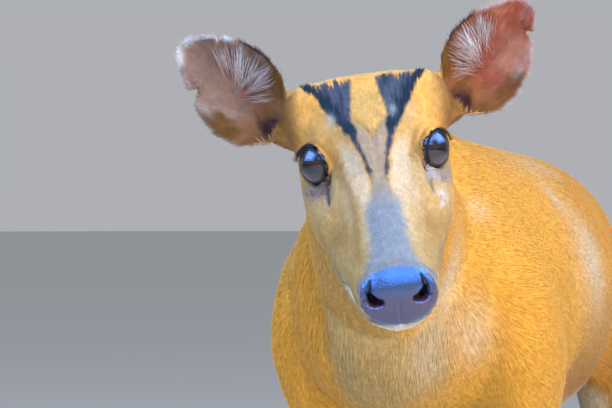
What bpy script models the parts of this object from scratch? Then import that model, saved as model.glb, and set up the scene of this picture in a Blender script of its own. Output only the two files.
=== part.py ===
"""A red muntjac doe, life size, standing square with its head turned a little to its left.

Metres, +Z up. The trunk lies along Y with the head at -Y, and the animal's left is +X.
Each mass of flesh is a loft through a few measured sections. The lofts are fused into one body,
soft pushes and creases shape it, and planes part it into the named sub-parts.
"""
import math

import bmesh
import bpy
import numpy as np
from mathutils import Matrix, Vector

MM = 0.001

# Driving dimensions
EYE_MID = Vector((0.054, -0.247, 0.489))
HEAD_YAW = math.radians(19.3)
HEAD_ROLL = math.radians(8.0)
HEAD_PITCH = math.radians(24.2)
EYE_RADIUS = 13.5 * MM
EYE_CENTRE = Vector((31.0, 2.5, -0.6)) * MM
GAP = 0.3 * MM
EAR_BED_GAP = 0.45 * MM
BODY_VOXEL = 3.0 * MM
EAR_VOXEL = 1.3 * MM
EAR_WALL = 3.0 * MM
SECTION_POINTS = 36
STEPS_BETWEEN_SECTIONS = 5

# How many triangles each sub-part keeps
HEAD_TRIANGLES = 1750
NOSE_TRIANGLES = 260
EAR_TRIANGLES = 430
NECK_TRIANGLES = 330
TRUNK_TRIANGLES = 1060
UPPER_LEG_TRIANGLES = 160
LOWER_LEG_TRIANGLES = 110
CANNON_TRIANGLES = 150
TAIL_TRIANGLES = 150

for old in list(bpy.data.objects):
    bpy.data.objects.remove(old, do_unlink=True)

muntjac = bpy.data.collections.new("muntjac")
cutters = bpy.data.collections.new("cutters")
bpy.context.scene.collection.children.link(muntjac)
bpy.context.scene.collection.children.link(cutters)

head_place = (
    Matrix.Translation(EYE_MID)
    @ Matrix.Rotation(HEAD_YAW, 4, "Z")
    @ Matrix.Rotation(-HEAD_ROLL, 4, "Y")
    @ Matrix.Rotation(HEAD_PITCH, 4, "X")
)


# Materials

def material(name, colour, roughness):
    made = bpy.data.materials.new(name)
    made.use_nodes = True
    shader = made.node_tree.nodes["Principled BSDF"]
    shader.inputs["Base Color"].default_value = (*colour, 1.0)
    shader.inputs["Roughness"].default_value = roughness
    shader.inputs["Metallic"].default_value = 0.0
    return made


coat = material("golden coat", (0.62, 0.29, 0.07), 0.75)
leg_coat = material("brown leg coat", (0.30, 0.15, 0.06), 0.75)
wet_leather = material("nose leather", (0.05, 0.04, 0.08), 0.25)
ear_skin = material("ear skin", (0.50, 0.26, 0.19), 0.65)
eye_gloss = material("dark eye", (0.02, 0.015, 0.012), 0.06)
horn = material("hoof horn", (0.035, 0.03, 0.028), 0.45)


# Sections and lofts

def smooth_rows(rows):
    """The rows, with more between them on a curve through them all."""
    table = np.array(rows, float)
    gaps = np.linalg.norm(np.diff(table[:, :3], axis=0), axis=1)
    at = np.concatenate([[0.0], np.cumsum(gaps)])
    slopes = np.gradient(table, at, axis=0)
    dense = []
    for i, length in enumerate(gaps):
        for t in np.arange(STEPS_BETWEEN_SECTIONS) / STEPS_BETWEEN_SECTIONS:
            start = (1 + 2 * t) * (1 - t) ** 2 * table[i] + t * t * (3 - 2 * t) * table[i + 1]
            bend = t * (1 - t) ** 2 * slopes[i] - t * t * (1 - t) * slopes[i + 1]
            dense.append(start + length * bend)
    dense.append(table[-1])
    return np.array(dense)


def section_axes(centres, lateral, dorsal):
    """The sideways and upward axes of each section. Without a lateral axis they turn with the spine."""
    if lateral is not None:
        return [(Vector(lateral), Vector(dorsal))] * len(centres)
    axes = []
    for along in np.gradient(centres, axis=0):
        ahead = Vector(along).normalized()
        side = ahead.cross(Vector(dorsal)).normalized()
        axes.append((side, side.cross(ahead).normalized()))
    return axes


def loft(form, rows, lateral=None, dorsal=(0, 0, 1), place=None):
    """Adds a closed loft to a bmesh. A row is x, y, z, half width, reach above, reach below and,
    for an outline that isn't an ellipse, the power of its upper half and of its lower half."""
    rows = [tuple(row) + (2.0,) * (8 - len(row)) for row in rows]
    dense = smooth_rows([[v * MM for v in row[:6]] + list(row[6:]) for row in rows])
    axes = section_axes(dense[:, :3], lateral, dorsal)
    before = None
    made = []
    for row, (side, up) in zip(dense, axes):
        centre = Vector(row[:3])
        half, above, below, upper, lower = row[3:]
        ring = bmesh.ops.create_circle(form, segments=SECTION_POINTS, radius=1.0)["verts"]
        for vert in ring:
            across, rise = vert.co.x, vert.co.y
            power, reach = (upper, above) if rise > 0 else (lower, below)
            x = half * math.copysign(abs(across) ** (2 / power), across)
            z = reach * math.copysign(abs(rise) ** (2 / power), rise)
            vert.co = centre + side * x + up * z
        edges = list({edge for vert in ring for edge in vert.link_edges})
        if before:
            bmesh.ops.bridge_loops(form, edges=before + edges)
        else:
            bmesh.ops.holes_fill(form, edges=edges)
        before = edges
        made += ring
    bmesh.ops.holes_fill(form, edges=before)
    if place:
        bmesh.ops.transform(form, matrix=place, verts=made)


def mirrored(rows):
    """The same rows on the animal's right side."""
    return [(-row[0],) + tuple(row[1:]) for row in rows]


# Meshes

def mesh_object(name, form):
    bmesh.ops.recalc_face_normals(form, faces=form.faces)
    mesh = bpy.data.meshes.new(name)
    form.to_mesh(mesh)
    form.free()
    made = bpy.data.objects.new(name, mesh)
    bpy.context.scene.collection.objects.link(made)
    return made


def apply_modifiers(obj):
    """Makes the object's mesh the one that its modifiers give."""
    seen = obj.evaluated_get(bpy.context.evaluated_depsgraph_get())
    mesh = bpy.data.meshes.new_from_object(seen)
    obj.modifiers.clear()
    old = obj.data
    obj.data = mesh
    bpy.data.meshes.remove(old)


def fused(obj, voxel, smoothing):
    """Makes overlapping closed shells one skin, and takes the steps out of it."""
    remesh = obj.modifiers.new("fuse", "REMESH")
    remesh.mode = "VOXEL"
    remesh.voxel_size = voxel
    smooth = obj.modifiers.new("smooth", "SMOOTH")
    smooth.factor = 0.5
    smooth.iterations = smoothing
    apply_modifiers(obj)


def points_of(mesh):
    points = np.empty(len(mesh.vertices) * 3)
    mesh.vertices.foreach_get("co", points)
    return points.reshape(-1, 3)


def normals_of(mesh):
    normals = np.empty(len(mesh.vertices) * 3)
    mesh.vertex_normals.foreach_get("vector", normals)
    return normals.reshape(-1, 3)


# Soft pushes and creases, as a modeller's thumb and tool leave them

def push(points, centre, radius, move):
    """Moves what lies within the radius, most at the centre and smoothly less to its edge."""
    away = np.linalg.norm(points - np.array(centre) * MM, axis=1) / (radius * MM)
    fall = np.clip(1 - away**2, 0, None) ** 2
    points += fall[:, None] * np.array(move) * MM


def away_from_line(points, route):
    """The distance of each point to a route of straight runs."""
    best = np.full(len(points), np.inf)
    route = np.array(route, float) * MM
    for start, end in zip(route[:-1], route[1:]):
        run = end - start
        t = np.clip((points - start) @ run / (run @ run), 0, 1)
        best = np.minimum(best, np.linalg.norm(points - start - t[:, None] * run, axis=1))
    return best


def crease(points, normals, route, width, depth):
    """Sinks a soft groove along a route, or raises a ridge where the depth is negative."""
    away = away_from_line(points, route) / (width * MM)
    points -= (depth * MM * np.exp(-(away**2)))[:, None] * normals


def both_sides(route):
    return [route, [(-x, y, z) for x, y, z in route]]


# Head. Sections from the nose tip back to the occiput, in the head's own frame:
# x to its left, y back and z up from the point between the eyes.

def head_row(y, top, bottom, widest, half, upper, lower):
    return (0, y, widest, half, top - widest, widest - bottom, upper, lower)


HEAD_ROWS = [
    head_row(-115, -34, -48, -41, 10, 2.0, 2.0),
    head_row(-112, -27.5, -55.5, -41, 18, 2.3, 2.2),
    head_row(-106, -22, -61.5, -41, 22.6, 2.4, 2.2),
    head_row(-97, -17.5, -65, -41, 24.6, 2.2, 2.1),
    head_row(-85, -13, -66.5, -41, 26.4, 2.0, 2.0),
    head_row(-72, -8, -66.5, -41, 28.6, 1.9, 2.0),
    head_row(-60, -3, -66.5, -40, 31.2, 1.9, 2.0),
    head_row(-45, 3, -67, -37, 35.4, 1.95, 1.95),
    head_row(-30, 9, -68.5, -31, 40.2, 2.0, 1.95),
    head_row(-15, 16, -70, -25, 45, 2.1, 2.0),
    head_row(0, 22.5, -72, -21, 48, 2.25, 2.1),
    head_row(15, 28, -73, -17, 49, 2.5, 2.2),
    head_row(32, 32.5, -72, -12, 48.5, 2.6, 2.2),
    head_row(48, 33.5, -66, -6, 46.5, 2.7, 2.1),
    head_row(64, 29.5, -55, -2, 42, 2.4, 2.0),
    head_row(80, 17, -42, -5, 34, 2.2, 2.0),
    head_row(94, 0, -28, -12, 19, 2.0, 2.0),
]

# Ears. The cup lies along an axis from its root to its tip, and opens towards the viewer.
EAR_ROOT = Vector((50, 45, 19))
EAR_TIP = Vector((111, 73, 55))
EAR_OPENING = Vector((0.12, -0.90, 0.42))
# Along the axis, the middle of the cup's width, half of that width, and the cup's depth, in mm
EAR_STATIONS = [
    (-11, -6.0, 7.0, 3.0),
    (-4, -8.5, 11.0, 8.5),
    (3, -8.0, 17.5, 14.0),
    (13.5, -7.4, 25.3, 18.0),
    (28, -5.5, 28.6, 17.0),
    (44, -2.8, 26.2, 13.0),
    (56, -0.7, 19.5, 9.0),
    (66, 0.5, 12.8, 5.5),
    (72, 0.8, 7.5, 3.0),
    (75, 0.8, 2.0, 1.0),
]
EAR_CELLS_ALONG = 26
EAR_CELLS_ACROSS = 18
# The mound of the skull that the ear grows from, and the muscle behind the cup
EAR_MOUND = [
    (26, 36, 6, 22, 22, 22),
    (36, 44, 12, 20, 20, 22),
    (44, 49, 15, 16, 18, 20),
    (50, 52, 17, 9, 11, 13),
]
EAR_MUSCLE = [
    (39, 44, 2, 13, 11, 12),
    (47, 51, 4, 14, 11, 12),
    (55, 59, 7, 13, 9, 11),
    (62, 66, 11, 9, 6, 8),
    (68, 71, 17, 5, 3, 5),
]
# The right ear stands a little higher and wider open than the left
RIGHT_EAR_LIFT = math.radians(3.0)
RIGHT_EAR_GROWTH = 1.04


def ear_axes():
    """The ear's axes in the head's frame: along it, across it towards the crown, and out of its opening."""
    along = (EAR_TIP - EAR_ROOT).normalized()
    opening = (EAR_OPENING - along * EAR_OPENING.dot(along)).normalized()
    return along, opening.cross(along).normalized(), opening


def ear_shell(form):
    """The cup of the left ear as an open sheet, bent from a flat grid."""
    along, across, opening = ear_axes()
    stations = np.array(EAR_STATIONS, float)
    grid = bmesh.ops.create_grid(
        form, x_segments=EAR_CELLS_ALONG, y_segments=EAR_CELLS_ACROSS, size=1.0
    )
    for vert in grid["verts"]:
        s = stations[0, 0] + (stations[-1, 0] - stations[0, 0]) * (vert.co.x + 1) / 2
        v = math.sin(vert.co.y * math.pi / 2)
        middle, half, depth = (np.interp(s, stations[:, 0], stations[:, i]) for i in (1, 2, 3))
        vert.co = (
            EAR_ROOT + along * s + across * (middle + half * v) - opening * depth * (1 - v * v)
        ) * MM


# Trunk, neck and tail. Trunk sections run from the breast to the rump: y, top, bottom, height of
# the widest place, half width there, and the powers of the upper and lower outlines.

def trunk_row(y, top, bottom, widest, half, upper=2.0, lower=2.0):
    return (0, y, widest, half, top - widest, widest - bottom, upper, lower)


TRUNK_ROWS = [
    trunk_row(-100, 435, 352, 395, 34),
    trunk_row(-80, 468, 325, 398, 58),
    trunk_row(-50, 500, 304, 400, 78, 1.9, 2.0),
    trunk_row(0, 518, 293, 396, 93, 1.7, 2.1),
    trunk_row(60, 517, 283, 392, 103, 1.8, 2.3),
    trunk_row(130, 513, 277, 388, 110, 1.9, 2.5),
    trunk_row(200, 511, 276, 388, 110, 1.9, 2.5),
    trunk_row(270, 509, 286, 392, 104, 1.8, 2.3),
    trunk_row(330, 508, 311, 400, 93, 1.7, 2.1),
    trunk_row(390, 505, 340, 405, 84, 1.7, 2.0),
    trunk_row(440, 495, 368, 412, 72, 1.8, 2.0),
    trunk_row(475, 475, 392, 425, 52, 1.9, 2.0),
    trunk_row(496, 457, 412, 434, 28, 2.0, 2.0),
]

NECK_ROWS = [
    (0, 40, 415, 58, 70, 70),
    (2, -20, 424, 62, 74, 78),
    (7, -70, 438, 58, 63, 78),
    (13.5, -112, 455, 53, 55, 67),
    (21, -148, 472, 49, 49, 56),
    (30, -182, 484, 43, 42, 50),
    (36, -208, 488, 36, 30, 42),
]

TAIL_ROWS = [
    (0, 462, 470, 15, 12, 14),
    (0, 492, 458, 16, 10, 12),
    (0, 514, 436, 19, 9, 10),
    (0, 526, 405, 20, 7, 9),
    (0, 530, 372, 17, 6, 8),
    (0, 529, 345, 12, 5, 6),
    (0, 526, 326, 4, 3, 3),
]

# Legs, as level sections: x, y, z, half width, reach forward, reach back
FORELEG_ROWS = [
    (46, 24, 474, 20, 40, 40),
    (56, 16, 445, 28, 56, 66),
    (66, 14, 410, 35, 66, 84),
    (73, 18, 370, 36, 70, 88),
    (76, 28, 332, 33, 62, 80),
    (74, 32, 300, 28, 48, 58),
    (68, 29, 270, 20.5, 30, 36),
    (62, 21, 235, 15.5, 18, 22),
    (57, 13, 195, 12, 14, 15),
    (56, 10, 168, 12.5, 14.5, 13.5),
    (55, 13, 148, 10.5, 11, 12.5),
    (54, 15, 110, 8.8, 9.2, 10.8),
    (53, 14, 75, 9.2, 9.6, 11.4),
    (52, 12, 55, 11.8, 12, 13.4),
    (52, 4, 38, 11, 11, 11.5),
    (52, -4, 22, 12.5, 14, 13),
    (52, -7, 14, 12, 15, 13),
]
HINDLEG_ROWS = [
    (34, 395, 466, 18, 48, 42),
    (44, 393, 440, 28, 72, 64),
    (57, 383, 400, 38, 84, 76),
    (68, 365, 352, 37, 70, 66),
    (72, 347, 305, 28, 48, 54),
    (69, 368, 268, 20, 30, 38),
    (63, 402, 230, 14.5, 19, 27),
    (58, 435, 192, 12, 15.5, 23),
    (56, 436, 165, 11, 13.5, 15.5),
    (55, 426, 122, 9.2, 10.5, 11.8),
    (54, 416, 80, 9.2, 10, 11.6),
    (53, 408, 56, 11.8, 12, 13.4),
    (53, 399, 38, 11, 11, 11.5),
    (53, 390, 22, 12.5, 14, 13),
    (53, 387, 14, 12, 15, 13),
]

body_form = bmesh.new()
loft(body_form, TRUNK_ROWS, (1, 0, 0), (0, 0, 1))
loft(body_form, NECK_ROWS)
loft(body_form, TAIL_ROWS)
loft(body_form, HEAD_ROWS, (1, 0, 0), (0, 0, 1), head_place)
for side_of in (list, mirrored):
    loft(body_form, side_of(FORELEG_ROWS), (1, 0, 0), (0, -1, 0))
    loft(body_form, side_of(HINDLEG_ROWS), (1, 0, 0), (0, -1, 0))
    loft(body_form, side_of(EAR_MOUND), place=head_place)
body = mesh_object("body_form", body_form)
fused(body, BODY_VOXEL, 8)


# Shaping of the head, in its own frame

# The way the eye looks, and how far from it, in degrees, the opening, the lids and the orbit reach
EYE_AXIS = Vector((0.766, -0.63, 0.10)).normalized()
OPENING_ANGLE = 56
OPENING_SOFTNESS = 9
LID_ANGLE = 76
ORBIT_ANGLE = 112
LID_THICKNESS = 1.8 * MM
SUNK_LIDS = 2.5
# From the ball's centre, in ball radii, where the lids' hold on the flesh starts to fade and where it ends
HOLD_FADES = 1.8
HOLD_ENDS = 3.2


def seat_eye(points, side):
    """Lays the flesh round an eye on the ball as lids, and sinks it below the ball in the opening."""
    mirror = np.array((side, 1, 1))
    centre = np.array(EYE_CENTRE) * mirror
    away = points - centre
    distance = np.linalg.norm(away, axis=1)
    angle = np.degrees(np.arccos(np.clip(away @ (np.array(EYE_AXIS) * mirror) / distance, -1, 1)))
    near = np.clip((HOLD_ENDS - distance / EYE_RADIUS) / (HOLD_ENDS - HOLD_FADES), 0, 1)
    opened = np.clip((OPENING_ANGLE - angle) / OPENING_SOFTNESS, 0, 1)
    lid = EYE_RADIUS + LID_THICKNESS * (1 - opened * SUNK_LIDS)
    held = np.clip((ORBIT_ANGLE - angle) / (ORBIT_ANGLE - LID_ANGLE), 0, 1)
    held = held * held * (3 - 2 * held) * near
    wanted = distance + (lid - distance) * held
    points += away * (wanted / distance - 1)[:, None]


# Swellings and hollows of the left side of the head: a centre, a radius and a move, in mm
HEAD_SWELLINGS = {
    "brow": ((41, 3, 14), 17, (3.2, -1.0, 2.0)),
    "cheekbone": ((48, 6, -22), 24, (2.2, -1.0, 0)),
    "hollow before the eye": ((33, -22, -10), 17, (-4.0, 2.0, 0)),
    "side of the snout": ((28, -47, -18), 18, (-3.0, 0, 0)),
    "jaw muscle": ((34, 15, -66), 26, (3.0, 0, 1.0)),
    "wing of the nostril": ((19, -106, -41), 9, (1.6, -0.6, 0)),
    "top of the crown": ((26, 46, 33), 22, (0, 0, 3.0)),
}
# Those that aren't mirrored
SINGLE_SWELLINGS = {
    "bridge of the nose": ((0, -60, -2), 26, (0, 0, -1.2)),
    "hollow under the jaw": ((0, 10, -80), 34, (0, 0, 5.0)),
    "chin": ((0, -98, -66), 13, (0, -1.5, -1.0)),
    "fuller right side of the snout": ((-31, -66, -40), 36, (-3.2, 0, 0)),
}
# Folds of the left side of the head: a route, a width and a depth, in mm
HEAD_FOLDS = {
    "mouth": ([(0, -107, -60), (12, -105, -58), (20, -99, -50), (26, -88, -42), (29, -68, -43)], 3.0, 1.4),
    "gland before the eye": ([(33, -13, -1), (28, -26, -12), (24, -40, -22)], 4.0, 1.8),
    "ridge of the forehead": ([(8, -32, 11), (17, 5, 26), (25, 38, 34)], 5.0, -1.0),
}
# The same for the body, in its own frame
BODY_SWELLINGS = {
    "point of the shoulder": ((86, -30, 345), 55, (2.0, -3.0, 0)),
    "hollow behind the elbow": ((98, 142, 330), 42, (-4.0, 0, 0)),
    "flank": ((88, 300, 350), 52, (-6.0, 0, 4.0)),
    "thigh": ((92, 385, 365), 58, (3.0, 0, 0)),
}
BODY_FOLDS = {
    "front of the shoulder": ([(92, -62, 425), (94, -68, 385), (86, -66, 345), (74, -48, 315)], 11.0, 3.5),
    "back of the upper arm": ([(110, 92, 415), (112, 104, 375), (108, 110, 338), (94, 104, 308)], 10.0, 3.5),
    "front of the thigh": ([(100, 318, 430), (104, 300, 392), (96, 296, 352), (84, 300, 322)], 13.0, 3.0),
    "root of the neck": ([(46, -92, 462), (52, -85, 425), (48, -92, 385), (30, -98, 350)], 12.0, 2.0),
}


def on_both_sides(points, normals, swellings, folds):
    for side in (1, -1):
        mirror = np.array((side, 1, 1))
        for centre, radius, move in swellings.values():
            push(points, centre * mirror, radius, move * mirror)
    for route, width, depth in folds.values():
        for one_side in both_sides(route):
            crease(points, normals, one_side, width, depth)


def shape_head(points, normals):
    for side in (1, -1):
        seat_eye(points, side)
    for centre, radius, move in SINGLE_SWELLINGS.values():
        push(points, centre, radius, move)
    on_both_sides(points, normals, HEAD_SWELLINGS, HEAD_FOLDS)


# How far from the point between the eyes the head is shaped
HEAD_REACH = 0.16


def shaped(obj):
    points = points_of(obj.data)
    normals = normals_of(obj.data)
    on_both_sides(points, normals, BODY_SWELLINGS, BODY_FOLDS)
    turn = np.array(head_place.to_3x3())
    origin = np.array(EYE_MID)
    local = (points - origin) @ turn
    shape_head(local, normals @ turn)
    near = np.linalg.norm(points - origin, axis=1) < HEAD_REACH
    points[near] = local[near] @ turn.T + origin
    obj.data.vertices.foreach_set("co", points.ravel())
    obj.data.update()


shaped(body)


# Parting into sub-parts

def cut_flat(form, point, normal, keep_gap):
    """Cuts a closed form by a plane, keeps the side that the normal points to, and closes the cut."""
    offset = Vector(point) + Vector(normal) * keep_gap
    geometry = list(form.verts) + list(form.edges) + list(form.faces)
    cut = bmesh.ops.bisect_plane(
        form, geom=geometry, plane_co=offset, plane_no=normal, clear_inner=True, dist=1e-7
    )
    edges = [item for item in cut["geom_cut"] if isinstance(item, bmesh.types.BMEdge)]
    if edges:
        bmesh.ops.holes_fill(form, edges=edges)


def keep_largest(form):
    """Deletes all but the largest connected piece."""
    left = set(form.verts)
    pieces = []
    while left:
        reached = {left.pop()}
        front = list(reached)
        while front:
            vert = front.pop()
            for edge in vert.link_edges:
                other = edge.other_vert(vert)
                if other in left:
                    left.remove(other)
                    reached.add(other)
                    front.append(other)
        pieces.append(reached)
    pieces.sort(key=len)
    lost = [vert for piece in pieces[:-1] for vert in piece]
    bmesh.ops.delete(form, geom=lost, context="VERTS")


def thinned(obj, triangles):
    """Brings an object down to about so many triangles."""
    triangulate = obj.modifiers.new("triangles", "TRIANGULATE")
    triangulate.quad_method = "BEAUTY"
    apply_modifiers(obj)
    thin = obj.modifiers.new("thin", "DECIMATE")
    thin.ratio = min(1.0, triangles / len(obj.data.polygons))
    apply_modifiers(obj)


ROUGH_CUT = -5.0 * MM
HALF_GAP = GAP / 2


def part_from(source, name, planes, triangles):
    """A sub-part: the source inside the planes, thinned, and cut again at the planes themselves."""
    form = bmesh.new()
    form.from_mesh(source.data)
    for point, normal in planes:
        cut_flat(form, point, normal, ROUGH_CUT)
    keep_largest(form)
    made = mesh_object(name, form)
    thinned(made, triangles)
    form = bmesh.new()
    form.from_mesh(made.data)
    for point, normal in planes:
        cut_flat(form, point, normal, HALF_GAP)
    keep_largest(form)
    bmesh.ops.triangulate(form, faces=form.faces)
    bmesh.ops.recalc_face_normals(form, faces=form.faces)
    form.to_mesh(made.data)
    form.free()
    return made


def kept(obj, look, smooth=True):
    """Puts a finished sub-part in the animal's collection with its material."""
    bpy.context.scene.collection.objects.unlink(obj)
    muntjac.objects.link(obj)
    obj.data.materials.clear()
    obj.data.materials.append(look)
    if smooth:
        obj.data.shade_smooth()
    return obj


def cut_out(obj, cutter, operation="DIFFERENCE"):
    """Cuts another closed shape out of an object, and removes the cutter."""
    boolean = obj.modifiers.new("cut", "BOOLEAN")
    boolean.operation = operation
    boolean.solver = "EXACT"
    boolean.object = cutter
    apply_modifiers(obj)
    bpy.data.objects.remove(cutter, do_unlink=True)


def cutter_object(name, form):
    made = mesh_object(name, form)
    bpy.context.scene.collection.objects.unlink(made)
    cutters.objects.link(made)
    made.hide_render = True
    made.display_type = "WIRE"
    return made


# Planes between the sub-parts, each a point and a normal
NAPE = (Vector((0.022, -0.160, 0.476)), Vector((0.15, -0.93, 0.34)).normalized())
NECK_ROOT = (Vector((0.0, -0.062, 0.430)), Vector((0.0, -0.95, 0.31)).normalized())
TAIL_ROOT = (Vector((0.0, 0.5035, 0.450)), Vector((0.0, 1.0, 0.0)))
UNDER_TRUNK = 0.270
NOSE_EDGE = head_place @ Vector((0, -98.5 * MM, -18 * MM))
NOSE_FACING = (head_place.to_3x3() @ Vector((0, -1.0, -0.10))).normalized()


def turned_round(plane):
    return plane[0], -plane[1]


# How far a leg's planes stay from the middle of the trunk, and how far its block reaches outwards
MIDDLE_CLEARANCE = 0.004
BLOCK_REACH = 0.6


# A leg's upper part is bounded by a slanted plane to the trunk, and by upright planes before and behind.
class LegBlock:
    def __init__(self, front, back, inner_x, inner_z, slant):
        self.front = front
        self.back = back
        self.inner = (inner_x, inner_z)
        self.slant = math.radians(slant)

    def inward(self, side):
        """The slanted plane: a point of it, and the normal that points into the leg."""
        normal = Vector((side * math.sin(self.slant), 0, -math.cos(self.slant)))
        return Vector((side * self.inner[0], self.front, self.inner[1])), normal

    def planes(self, side):
        """The planes that bound the leg, with normals that point into it."""
        return [
            self.inward(side),
            (Vector((0, self.front, 0)), Vector((0, 1, 0))),
            (Vector((0, self.back, 0)), Vector((0, -1, 0))),
            (Vector((side * MIDDLE_CLEARANCE, 0, 0)), Vector((side, 0, 0))),
        ]

    def cutter(self, side):
        """A block that fills the leg's space and half a gap more."""
        point, normal = self.inward(side)
        across = Vector((0, 1, 0)).cross(normal).normalized()
        length = self.back - self.front + 2 * HALF_GAP
        start = Vector((point.x, (self.front + self.back) / 2, point.z))
        middle = start + normal * (BLOCK_REACH / 2 - HALF_GAP)
        form = bmesh.new()
        turn = Matrix((across, Vector((0, 1, 0)), normal)).transposed().to_4x4()
        scale = Matrix.Diagonal((2 * BLOCK_REACH, length, BLOCK_REACH, 1))
        bmesh.ops.create_cube(form, size=1.0, matrix=Matrix.Translation(middle) @ turn @ scale)
        beyond = Vector((side * (MIDDLE_CLEARANCE - HALF_GAP), 0, 0))
        cut_flat(form, beyond, Vector((side, 0, 0)), 0.0)
        return cutter_object("leg_block", form)


FORE_BLOCK = LegBlock(front=-0.078, back=0.084, inner_x=0.030, inner_z=0.302, slant=55)
HIND_BLOCK = LegBlock(front=0.300, back=0.482, inner_x=0.022, inner_z=0.318, slant=55)
ELBOW = 0.278
WRIST = 0.184
STIFLE = 0.294
HOCK = 0.205
CORONET_SLOPE = 0.34
FORE_CORONET = Vector((0.052, -0.006, 0.0205))
HIND_CORONET = Vector((0.053, 0.388, 0.0205))
UP = Vector((0, 0, 1))
CORONET_NORMAL = Vector((0, CORONET_SLOPE, 1)).normalized()


def on_side(point, side):
    return Vector((side * point.x, point.y, point.z))


def level(height, normal):
    return Vector((0, 0, height)), normal


def leg_parts(source, name, side, block, joints, coronet):
    """The upper leg, the lower leg and the cannon with its pastern, down to the top of the hooves."""
    upper_joint, lower_joint = joints
    planes = block.planes(side)
    sole_side = (on_side(coronet, side), CORONET_NORMAL)
    upper = planes + [level(upper_joint, UP), turned_round(NECK_ROOT)]
    kept(part_from(source, f"{name}_upper", upper, UPPER_LEG_TRIANGLES), coat)
    inner = [planes[3], planes[1], planes[2]]
    lower = inner + [level(upper_joint, -UP), level(lower_joint, UP)]
    kept(part_from(source, f"{name}_lower", lower, LOWER_LEG_TRIANGLES), leg_coat)
    cannon = inner + [level(lower_joint, -UP), sole_side]
    kept(part_from(source, f"{name}_cannon", cannon, CANNON_TRIANGLES), leg_coat)


head = part_from(body, "head", [NAPE, (NOSE_EDGE, -NOSE_FACING)], HEAD_TRIANGLES)
nose = part_from(body, "nose", [(NOSE_EDGE, NOSE_FACING)], NOSE_TRIANGLES)
neck = part_from(body, "neck", [turned_round(NAPE), NECK_ROOT], NECK_TRIANGLES)
trunk_planes = [turned_round(NECK_ROOT), turned_round(TAIL_ROOT), level(UNDER_TRUNK, UP)]
trunk = part_from(body, "trunk", trunk_planes, TRUNK_TRIANGLES)
tail = part_from(body, "tail", [TAIL_ROOT], TAIL_TRIANGLES)
for side_name, side in (("left", 1), ("right", -1)):
    leg_parts(body, f"foreleg_{side_name}", side, FORE_BLOCK, (ELBOW, WRIST), FORE_CORONET)
    leg_parts(body, f"hindleg_{side_name}", side, HIND_BLOCK, (STIFLE, HOCK), HIND_CORONET)
    for block in (FORE_BLOCK, HIND_BLOCK):
        cut_out(trunk, block.cutter(side))


# Ears

ear_form = bmesh.new()
ear_shell(ear_form)
ear_sheet = mesh_object("ear_sheet", ear_form)
wall = ear_sheet.modifiers.new("wall", "SOLIDIFY")
wall.thickness = EAR_WALL
wall.offset = 0.0
apply_modifiers(ear_sheet)
ear_form = bmesh.new()
ear_form.from_mesh(ear_sheet.data)
bpy.data.objects.remove(ear_sheet, do_unlink=True)
loft(ear_form, EAR_MUSCLE)
bmesh.ops.transform(ear_form, matrix=head_place, verts=ear_form.verts)
ear_left_form = mesh_object("ear_form", ear_form)
fused(ear_left_form, EAR_VOXEL, 3)
ear_left = part_from(ear_left_form, "ear_left", [], EAR_TRIANGLES)

# The right ear is the left one mirrored in the head's own middle plane and turned at its root
ear_turn_axis = ear_axes()[2]
right_ear_turn = (
    head_place
    @ Matrix.Diagonal((-1, 1, 1, 1))
    @ Matrix.Translation(EAR_ROOT * MM)
    @ Matrix.Rotation(RIGHT_EAR_LIFT, 4, ear_turn_axis)
    @ Matrix.Scale(RIGHT_EAR_GROWTH, 4)
    @ Matrix.Translation(-EAR_ROOT * MM)
    @ head_place.inverted()
)
ear_right = ear_left.copy()
ear_right.name = "ear_right"
ear_right.data = ear_left.data.copy()
ear_right.data.transform(right_ear_turn)
ear_right.data.flip_normals()
bpy.context.scene.collection.objects.link(ear_right)
bpy.data.objects.remove(ear_left_form, do_unlink=True)


def grown_copy(obj, more):
    """A cutter of the same shape, grown on every side."""
    form = bmesh.new()
    form.from_mesh(obj.data)
    form.normal_update()
    moves = [(vert, vert.normal * more) for vert in form.verts]
    for vert, move in moves:
        vert.co += move
    return cutter_object("grown", form)


for ear in (ear_left, ear_right):
    cut_out(head, grown_copy(ear, EAR_BED_GAP))
head_form = bmesh.new()
head_form.from_mesh(head.data)
keep_largest(head_form)
head_form.to_mesh(head.data)
head_form.free()


# Eyes in their sockets, and the nostrils

for side_name, side in (("left", 1), ("right", -1)):
    centre = head_place @ Vector((side * EYE_CENTRE.x, EYE_CENTRE.y, EYE_CENTRE.z))
    for name, radius in ((f"eye_{side_name}", EYE_RADIUS), ("socket", EYE_RADIUS + GAP)):
        form = bmesh.new()
        bmesh.ops.create_icosphere(form, subdivisions=3, radius=radius, matrix=Matrix.Translation(centre))
        if name == "socket":
            cut_out(head, cutter_object(name, form))
        else:
            kept(mesh_object(name, form), eye_gloss)

NOSTRIL_CENTRE = Vector((14.5, -114.5, -39)) * MM
NOSTRIL_SIZE = (4.2 * MM, 8.0 * MM, 5.6 * MM)
NOSTRIL_TURN = math.radians(-28)
for side in (1, -1):
    form = bmesh.new()
    at = Matrix.Translation((side * NOSTRIL_CENTRE.x, NOSTRIL_CENTRE.y, NOSTRIL_CENTRE.z))
    turn = Matrix.Rotation(side * NOSTRIL_TURN, 4, "Z")
    size = Matrix.Diagonal((*NOSTRIL_SIZE, 1))
    bmesh.ops.create_icosphere(form, subdivisions=2, radius=1.0, matrix=head_place @ at @ turn @ size)
    cut_out(nose, cutter_object("nostril", form))

for obj, look in ((head, coat), (nose, wet_leather), (neck, coat), (trunk, coat), (tail, coat)):
    kept(obj, look)
for obj in (ear_left, ear_right):
    kept(obj, ear_skin)


# Hooves and dewclaws

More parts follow.
